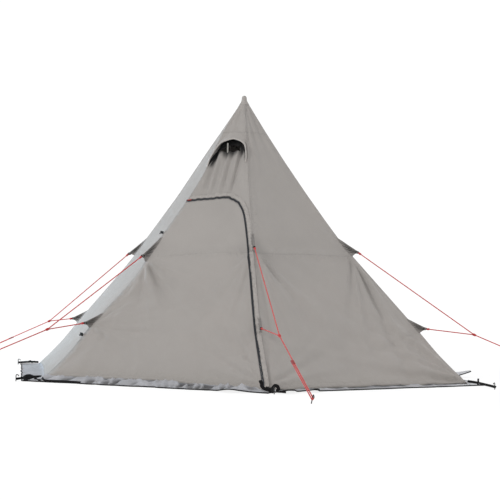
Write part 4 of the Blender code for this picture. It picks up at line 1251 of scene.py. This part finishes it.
def add_net(name, side, root, lip, look):
    """Black net sewn round the inside of the arch, widest at its top; its near black also paints the shade inside the
    hood.
    """
    middle = np.linspace(-1, 1, len(lip))
    depth = NET_DEPTH * np.clip(1 - np.abs(middle) ** 2.2, 0, 1)
    outer = lip + (root - lip) * NET_START
    outer, depth = outer[2:-2], depth[2:-2]
    grid = []
    for part in np.linspace(0, 1, NET_ROWS):
        across = outer[:, 0] * (1 - 0.06 * part)
        height = outer[:, 1] - depth * part
        grid.append(on_cloth(side, across, height, NET_LIFT))
    net = thicken(grid_piece("vent_net_" + name, np.array(grid), look), NET_THICK)
    on_tent("vent_net", net, "vent_mesh_" + name)


# Tabs: points across and along the cloth, half waves of its folds with their phase, size and shade, the share of
# its length over which its layers meet, how far apart they begin, and how far its edge sinks into the seam
TAB_ROWS, TAB_COLUMNS = 31, 29
TAB_WAVES, TAB_PHASE, TAB_FOLD, TAB_SHADE = 5.6, 0.7, 0.0095, 0.72
TAB_MEET, TAB_SPREAD, TAB_SINK = 0.34, 0.013, 0.007
TAB_EDGE = 0.0018  # half the thickness of its layers together
TAB_HOLLOWS = (0.05, 0.012)  # hollow of its lower and upper edge, as a share of its height
LOOP_SIZES, LOOP_BACK, LOOP_WIDE, LOOP_THICK = (0.014, 0.0095), 0.005, 0.014, 0.003
TOGGLE_LOOP_STEP, TOGGLE_LOOP_THICK = 0.006, 0.007
TOGGLE_LOOP_LIFTS, TOGGLE_LOOP_DROP = (0.006, 0.008), 0.006


def add_tab(corner, order, look, webbing):
    """A pulled-out tab: two layers that leave the sides, meet on the seam and run to a webbing loop."""
    radial = unit(CORNERS[corner])
    sideways = np.cross(UP, radial)
    bottom, _, top, _ = (part * HEIGHT for part in tab_shares(corner, order))
    tip_point = tab_tip(corner, order)
    ups = np.linspace(-1, 1, TAB_COLUMNS)
    grid, shades = [], []
    low, high = TAB_HOLLOWS
    # Painted shade in the hollows of the tab's folds, carried by its shade attribute
    creases = (0.5 - 0.5 * np.cos(TAB_WAVES * math.pi * ups + TAB_PHASE)) ** 2 * (1 - ups ** 2)
    for turn in np.linspace(-1, 1, TAB_ROWS):
        part = 1 - abs(turn)
        shades.append(TAB_SHADE * creases * math.sin(math.pi * min(1, 0.12 + part)))
        apart = max(0.0, 1 - part / TAB_MEET) ** 2
        line = []
        for up in ups:
            seam = seam_place(corner, (bottom + top) / 2 + (top - bottom) / 2 * up)
            end = tip_point + UP * TAB_TIP / 2 * up
            hollow = (low if up < 0 else high) * math.sin(math.pi * part) * (top - bottom) * -up * abs(up)
            spine = seam + (end - seam) * part + UP * hollow
            spread = TAB_SPREAD * apart + TAB_EDGE * (1 - up ** 4)
            wave = math.sin(TAB_WAVES * math.pi * up + TAB_PHASE)
            fold = TAB_FOLD * wave * math.sin(math.pi * min(1, part * 1.1)) * (1 - up * up)
            line.append(spine + sideways * (math.copysign(spread, turn) + fold) - radial * TAB_SINK * apart)
        grid.append(line)
    layers = {"shade": np.array(shades).reshape(-1)}
    on_tent("canopy_cloth", grid_piece(f"tab_{order}_{corner}", np.array(grid), look, layers))
    long, tall = LOOP_SIZES
    centre = tip_point - radial * LOOP_BACK
    ring = [centre + radial * math.cos(a) * long + UP * math.sin(a) * tall for a in np.linspace(0, 2 * math.pi, 25)]
    loop = strap_piece(f"tab_loop_{order}_{corner}", ring, LOOP_WIDE, LOOP_THICK, webbing, sideways)
    on_tent("black_webbing", loop)


def add_toggle_loops(webbing):
    """A short webbing loop from the door's hinge seam to each toggle's pivot."""
    out = SIDES["left_front"].out
    for name, pivot, wide in TOGGLE_LOOPS:
        ends = np.array(pivot), seam_place("front_left", pivot[2] - TOGGLE_LOOP_DROP)
        line = spaced([end + out * raised for end, raised in zip(ends, TOGGLE_LOOP_LIFTS)], TOGGLE_LOOP_STEP)
        facing = np.cross(line[-1] - line[0], out)
        on_tent("black_webbing", strap_piece("toggle_loop_" + name, line, wide, TOGGLE_LOOP_THICK, webbing, facing))


# Ground skirt
SKIRT_STEP = 0.012
SKIRT_LEVELS = 16
SKIRT_THICK = 0.0008
SKIRT_TUCK = 0.016  # how far it reaches up behind the hem
SKIRT_OVERLAP = 0.012  # of its two lengths at the zip, and of the door's over the hinge
SKIRT_BACK = 0.004  # the tent's length lies behind the door's
# How far the skirt lies out, and how high its heaps are
SKIRT_FORMS = {
    "front": (0.140, 0.040), "right_front": (0.105, 0.010), "right_back": (0.135, 0.012), "back": (0.150, 0.014),
    "left_back": (0.150, 0.010), "left_front": (0.135, 0.003),
}
# Where it lies farther out: place along the side, half its width, and how far
SKIRT_FLARES = {
    "front": ((0.70, 0.07, 0.11),), "right_front": ((-0.86, 0.06, 0.13), (-0.68, 0.06, 0.11)),
    "right_back": ((-0.06, 0.12, 0.24),),
}
SKIRT_SHADES = {name: 0.30 for name in SIDE_NAMES} | {"front": 0.86, "left_front": 0.0}  # painted shade between its heaps
SKIRT_CLEAR = 0.0035  # off the cloth behind the hem, and off the ground
SKIRT_RUN = 7.3  # how far apart the sides' folds are drawn from each other
# Heaps, creases and sway of the skirt: slant, wavelength, seed
SKIRT_HEAPS, SKIRT_CREASES, SKIRT_SWAY = (0.11, 0.34, 203), (-0.08, 0.11, 204), (0.0, 0.36, 205)
SWAY, FLARE_RISE = 0.010, 0.20
BINDING = 0.0045
BINDING_LIFT = 0.001


def skirt_wave(run, level, wave):
    slant, length, seed = wave
    return ripple(run + level * slant, run * 0, length, seed)


def skirt_grid(name, start, end, sunk=0.0):
    """Rows down a side's skirt: from behind the hem to the ground and out in slanting, trodden folds."""
    side = SIDES[name]
    reach, heap = SKIRT_FORMS[name]
    across = np.linspace(start, end, max(4, round((end - start) / SKIRT_STEP)) + 1)
    run = across + side.index * SKIRT_RUN
    quiet = smooth(np.minimum(across - side.low, side.high - across), 0.0, 0.10)
    hem = hem_across(side, across)
    grid, shades = [], [0 * across, 0 * across]
    for height in (hem + SKIRT_TUCK, hem + 0.002):
        at = across * share(height)
        grid.append(side.place(at, height, lift(side, at, height) - SKIRT_CLEAR - sunk))
    first = grid[-1] @ side.out
    mitre = smooth(np.abs(across) / side.high, 0.55, 1.0)
    flare = sum(size * np.exp(-((across - middle) / wide) ** 2) for middle, wide, size in SKIRT_FLARES.get(name, ()))
    calm = min(1.0, heap / 0.01)
    for level in np.linspace(0, 1, SKIRT_LEVELS)[1:]:
        fall, spread = smooth(level, 0.0, 0.40), smooth(level, 0.15, 1.0)
        out = first + 0.012 * level + (side.far - first + reach) * spread
        ridge = np.clip(1 - np.abs(skirt_wave(run, level, SKIRT_HEAPS)), 0, 1)
        crease = np.clip(1 - np.abs(skirt_wave(run, level, SKIRT_CREASES)), 0, 1)
        raised = heap * (ridge ** 3 + 0.50 * crease ** 4)
        hollow = smooth(1 - 0.6 * ridge ** 2 - 0.8 * crease ** 3, 0.36, 0.74)
        # Painted shade in the hollows between the skirt's heaps and creases
        shades.append(SKIRT_SHADES[name] * hollow * smooth(level, 0.04, 0.22) * (1 - smooth(level, 0.7, 1.0)))
        shape = math.sin(math.pi * min(1, 0.12 + level * 0.9)) ** 0.7
        height = hem * (1 - fall) + SKIRT_CLEAR + quiet * raised * shape * (0.3 + 0.7 * fall)
        out = out + quiet * spread * (SWAY * calm * skirt_wave(run, level, SKIRT_SWAY) - 0.6 * raised)
        out = out + flare * spread
        height = height + flare * FLARE_RISE * smooth(level, 0.3, 1.0)
        wider = across * (side.far + np.clip(out - side.far, 0, None) * mitre) / side.far
        grid.append(side.level(wider, out - sunk, height))
    return np.array(grid), np.array(shades)


def skirt_pieces(names, grid, shades, look, binding_look):
    """A length of skirt and the bound edge along it."""
    skirt = thicken(grid_piece(names[0], grid, look, {"shade": shades.reshape(-1)}), SKIRT_THICK)
    return skirt, tube_piece(names[1], grid[-1] + UP * BINDING_LIFT, BINDING, binding_look, 6)


def add_skirts(look, binding_look):
    """The tent's length of skirt round all sides, and the door's own."""
    edge = side_at(ZIP, 0.05)
    grids, all_shades = [], []
    for name, side in SIDES.items():
        grid, shades = skirt_grid(name, edge - SKIRT_OVERLAP if name == "front" else side.low, side.high, SKIRT_BACK)
        if grids:
            grids[-1][:, -1] = (grids[-1][:, -1] + grid[:, 0]) / 2
            grid, shades = grid[:, 1:], shades[:, 1:]
        grids.append(grid)
        all_shades.append(shades)
    names = "ground_skirt", "ground_skirt_binding"
    grid, shades = np.concatenate(grids, 1), np.concatenate(all_shades, 1)
    ground, ground_edge = skirt_pieces(names, grid, shades, look, binding_look)
    on_tent("skirt_cloth", ground, *(name + "_skirt" for name in SIDE_NAMES[1:]), "front_skirt_end")
    on_tent("black_webbing", ground_edge)
    names = "door_skirt_cloth", "door_skirt_binding"
    grid, shades = skirt_grid("front", SIDES["front"].low + SKIRT_OVERLAP, edge + SKIRT_OVERLAP)
    door, door_edge = skirt_pieces(names, grid, shades, look, binding_look)
    across_hinge(door)
    across_hinge(door_edge)
    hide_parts("door_skirt")


# Corner straps
STRAP_THICK, TAIL_THICK = 0.0022, 0.003
# A strap starts so far inside its corner and so high, and ends so high at its peg and so far past it
STRAP_BACK, STRAP_START, STRAP_PEG, STRAP_PAST = 0.012, 0.030, 0.019, 0.010
STRAP_SAG = ((0.0, 0.0), (0.3, 0.0), (0.7, 0.006), (1.0, 0.012))  # drop along its length
# The buckle: share of the strap's length, how far below the straight line, half sizes, and how round it is
BUCKLE_PLACE, BUCKLE_DROP = 0.46, 0.002
BUCKLE_LONG, BUCKLE_WIDE, BUCKLE_ROUND = 0.013, 0.0145, 0.45
BUCKLE_FRAME, BUCKLE_BAR = 0.0026, 0.0022
TAIL_VIEW = (0.378, -0.926, 0.05)  # loose ends show their width from here


def add_strap(row, webbing, plastic):
    """A strap from the hem's corner through a slide buckle to its peg, with its loose ends."""
    corner, turn, shift = row
    course, radial = outward(corner, turn), unit(CORNERS[corner])
    across = np.cross(UP, course)
    start = CORNERS[corner] - radial * STRAP_BACK + np.cross(UP, radial) * shift * STRAP_WIDE + UP * STRAP_START
    low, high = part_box("corner_peg_" + corner)
    peg = np.array(((low.x + high.x) / 2, (low.y + high.y) / 2, STRAP_PEG))
    long = (peg - start) @ course + STRAP_PAST
    line = curve_through([start + course * long * part - UP * drop for part, drop in STRAP_SAG], 6)
    strap = strap_piece("strap_" + corner, line, STRAP_WIDE, STRAP_THICK, webbing, UP + across * STRAP_LEAN)
    on_tent("black_webbing", strap, "corner_strap_" + corner)
    middle = start + course * long * BUCKLE_PLACE - UP * BUCKLE_DROP
    add_buckle("buckle_" + corner, middle, course, across, plastic)
    for number, (tail, wide) in enumerate(STRAP_TAILS.get(corner, ((PLAIN_TAIL, 0.014),))):
        points = [CORNERS[corner] + course * out + across * aside + UP * up for out, aside, up in tail]
        line = curve_through(points, 6)
        facing = np.cross(courses(line), TAIL_VIEW)
        on_tent("black_webbing", strap_piece(f"strap_tail_{number}_{corner}", line, wide, TAIL_THICK, webbing, facing))


def add_buckle(name, centre, course, across, look):
    """A slide buckle: a rounded frame with a middle bar."""
    ring = []
    for angle in np.linspace(0, 2 * math.pi, 41)[:-1]:
        along, aside = (math.copysign(abs(part) ** BUCKLE_ROUND, part) for part in (math.cos(angle), math.sin(angle)))
        ring.append(centre + course * BUCKLE_LONG * along + across * BUCKLE_WIDE * aside)
    above = np.cross(course, across)
    bar = spaced([centre - across * BUCKLE_WIDE, centre + across * BUCKLE_WIDE], 0.004)
    on_tent("black_plastic", tube_piece(name, [*ring, ring[0]], BUCKLE_FRAME, look, 8, above, caps=False))
    on_tent("black_plastic", tube_piece(name + "_bar", bar, BUCKLE_BAR, look))


# Crown cap: height, how round it is there, and its radius where it is round
CAP_RINGS = (
    (2.330, 0.0, 0.0), (2.350, 0.15, 0.040), (2.366, 0.6, 0.0275), (2.380, 1.0, 0.0228), (2.394, 1.0, 0.0215),
    (2.403, 1.0, 0.0180), (2.409, 1.0, 0.0120), (2.4115, 1.0, 0.0055),
)
CAP_LIFT = 0.0030


def add_crown_cap(look):
    """The sewn cap: six-sided where it lies on the canopy, round over the pole's tip."""
    angles = np.linspace(0, 2 * math.pi, 48, endpoint=False)
    ways = np.stack([np.cos(angles), np.sin(angles), 0 * angles], 1)
    sides = [(side.far, unit(side.out)) for side in SIDES.values()]
    hexagon = np.array([min(far / max(way @ face, 1e-6) for far, face in sides) for way in ways])
    rows = []
    for height, rounded, radius in CAP_RINGS:
        radii = (hexagon * share(height) + CAP_LIFT) * (1 - rounded) + radius * rounded
        rows.append(ways * radii[:, None] + UP * height)
    grid = np.array(rows)
    ids = grid_ids(grid)
    faces = [*grid_faces(np.concatenate([ids, ids[:, :1]], 1)), ids[-1]]
    on_tent("crown_cloth", mesh_piece("crown_cap_cloth", grid.reshape(-1, 3), faces, look), "crown_cap")


# Frame parts that keep their shape
def dress(looks):
    """Gives the frame's own parts their looks; a later row goes over an earlier one."""
    for name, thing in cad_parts.items():
        for start, look in looks.items():
            if name.startswith(start):
                thing.data.materials.clear()
                thing.data.materials.append(look)
                for face in thing.data.polygons:
                    face.use_smooth = False


# Floor and light: the floor's glow and the distances over which it fades into the sky, the sky as it lights and
# as it is seen, and the lamps as (name, place, size, power, colour)
FLOOR_SIZE, FLOOR_COLOUR, FLOOR_GLOW = 120, (0.86, 0.86, 0.86), 1.06
FLOOR_FADE = (2.6, 5.0, 0.80, 1.0)
SKY = (((0.97, 0.98, 1.0, 1), 0.62), ((1, 1, 1, 1), 1.05))
LAMPS = (
    ("key", (-5.2, -0.3, 0.9), 1.5, 128, (0.65, 0.84, 1.0)),
    ("front", (-4.5, -8.5, 6.5), 2.5, 387, (1.0, 0.99, 0.98)),
    ("right", (9.0, -2.0, 3.5), 2.0, 140, (1.0, 0.98, 0.96)),
    ("back", (1.0, 9.0, 6.0), 6.0, 330, (0.98, 0.99, 1.0)),
)
LAMP_TARGET = Vector((0, 0, 0.9))


def floor_look():
    """Pale floor that keeps the tent's soft shadow and fades into the white sky far from it."""
    look = Look("floor", 0.95)
    look.put(look.shader.inputs["Base Color"], FLOOR_COLOUR)
    paths = look.node("ShaderNodeLightPath")
    seen = look.math("MAXIMUM", paths["Is Camera Ray"], paths["Is Glossy Ray"])
    away = look.node("ShaderNodeVectorMath", {0: look.where}, operation="LENGTH")["Value"]
    part = look.math("MULTIPLY", seen, look.ramp(away, *FLOOR_FADE, kind="LINEAR"))
    glow = look.node("ShaderNodeEmission", {"Strength": FLOOR_GLOW})[0]
    mixed = look.node("ShaderNodeMixShader", {0: part, 1: look.shader.outputs[0], 2: glow})[0]
    look.put(look.tree.nodes["Material Output"].inputs["Surface"], mixed)
    return look.material


def add_sky():
    """An even sky, seen as white."""
    world = bpy.data.worlds.new("sky")
    world.use_nodes = True
    bpy.context.scene.world = world
    nodes, links = world.node_tree.nodes, world.node_tree.links
    blend = nodes.new("ShaderNodeMixShader")
    backgrounds = nodes["Background"], nodes.new("ShaderNodeBackground")
    for socket, background, (colour, strength) in zip(blend.inputs[1:], backgrounds, SKY):
        background.inputs["Color"].default_value = colour
        background.inputs["Strength"].default_value = strength
        links.new(background.outputs[0], socket)
    links.new(nodes.new("ShaderNodeLightPath").outputs["Is Camera Ray"], blend.inputs[0])
    links.new(blend.outputs[0], nodes["World Output"].inputs["Surface"])


def add_stage():
    """The floor under an even sky, with a key light from the left."""
    bpy.ops.mesh.primitive_plane_add(size=FLOOR_SIZE)
    floor = bpy.context.object
    floor.name = "floor"
    floor.data.materials.append(floor_look())
    add_sky()
    for name, place, size, power, colour in LAMPS:
        data = bpy.data.lights.new(name, "AREA")
        data.shape = "DISK"
        data.size, data.energy, data.color = size, power, colour
        lamp = linked(name, data)
        lamp.visible_camera = False
        lamp.location = place
        lamp.rotation_mode = "QUATERNION"
        lamp.rotation_quaternion = (Vector(place) - LAMP_TARGET).to_track_quat("Z", "Y")
    bpy.context.scene.view_settings.view_transform = "Standard"


add_camera()
RED = cord_look()
for guy_row in GUY_SHARES:
    add_guy(guy_row, RED)

CANOPY_LOOK = cloth_look("canopy_cloth", CLOTH_COLOUR)
CROWN_LOOK = cloth_look("crown_cloth", scaled(CLOTH_COLOUR, 1.03), sewn=False)
PIPING_LOOK = cloth_look("piping_cloth", scaled(CLOTH_COLOUR, 1.25), sewn=False)
TAB_LOOK = cloth_look("tab_cloth", scaled(CLOTH_COLOUR, 0.66), sewn=False)
WEBBING = webbing_look()
BLACK = plastic_look("black_plastic", BLACK_COLOUR)
NET = net_look()
PEG_PAINT = plastic_look("peg_paint", PEG_COLOUR, 0.6)
add_canopy(CANOPY_LOOK)
add_flap(CANOPY_LOOK)
add_zip(zip_look(), teeth_look(), cloth_look("placket_cloth", scaled(CLOTH_COLOUR, 1.12)))
for side_name in ("front", "back"):
    add_hood(side_name, CROWN_LOOK, PIPING_LOOK, NET)
for corner_name in CORNER_ORDER:
    for tab_order in (0, 1):
        add_tab(corner_name, tab_order, TAB_LOOK, WEBBING)
add_toggle_loops(WEBBING)
add_skirts(skirt_look(), WEBBING)
for strap_row in STRAP_ROWS:
    add_strap(strap_row, WEBBING, BLACK)
add_crown_cap(CROWN_LOOK)
dress({
    "pole_": metal_look("pole_metal", POLE_COLOUR, 0.32),
    "pole_foot": plastic_look("foot_rubber", FOOT_COLOUR, 0.75),
    "pole_tip": BLACK,
    "corner_peg_": PEG_PAINT,
    "guy_peg_": PEG_PAINT,
    "guy_runner_": plastic_look("runner_plastic", RUNNER_COLOUR),
    "zip_slider_": BLACK,
    "zip_pull_": plastic_look("red_pull", PULL_COLOUR),
    "zip_pull_lower": BLACK,
    "vent_prop_": plastic_look("pale_stay", STAY_COLOUR, 0.5),
    "door_toggle_": BLACK,
})
add_stage()
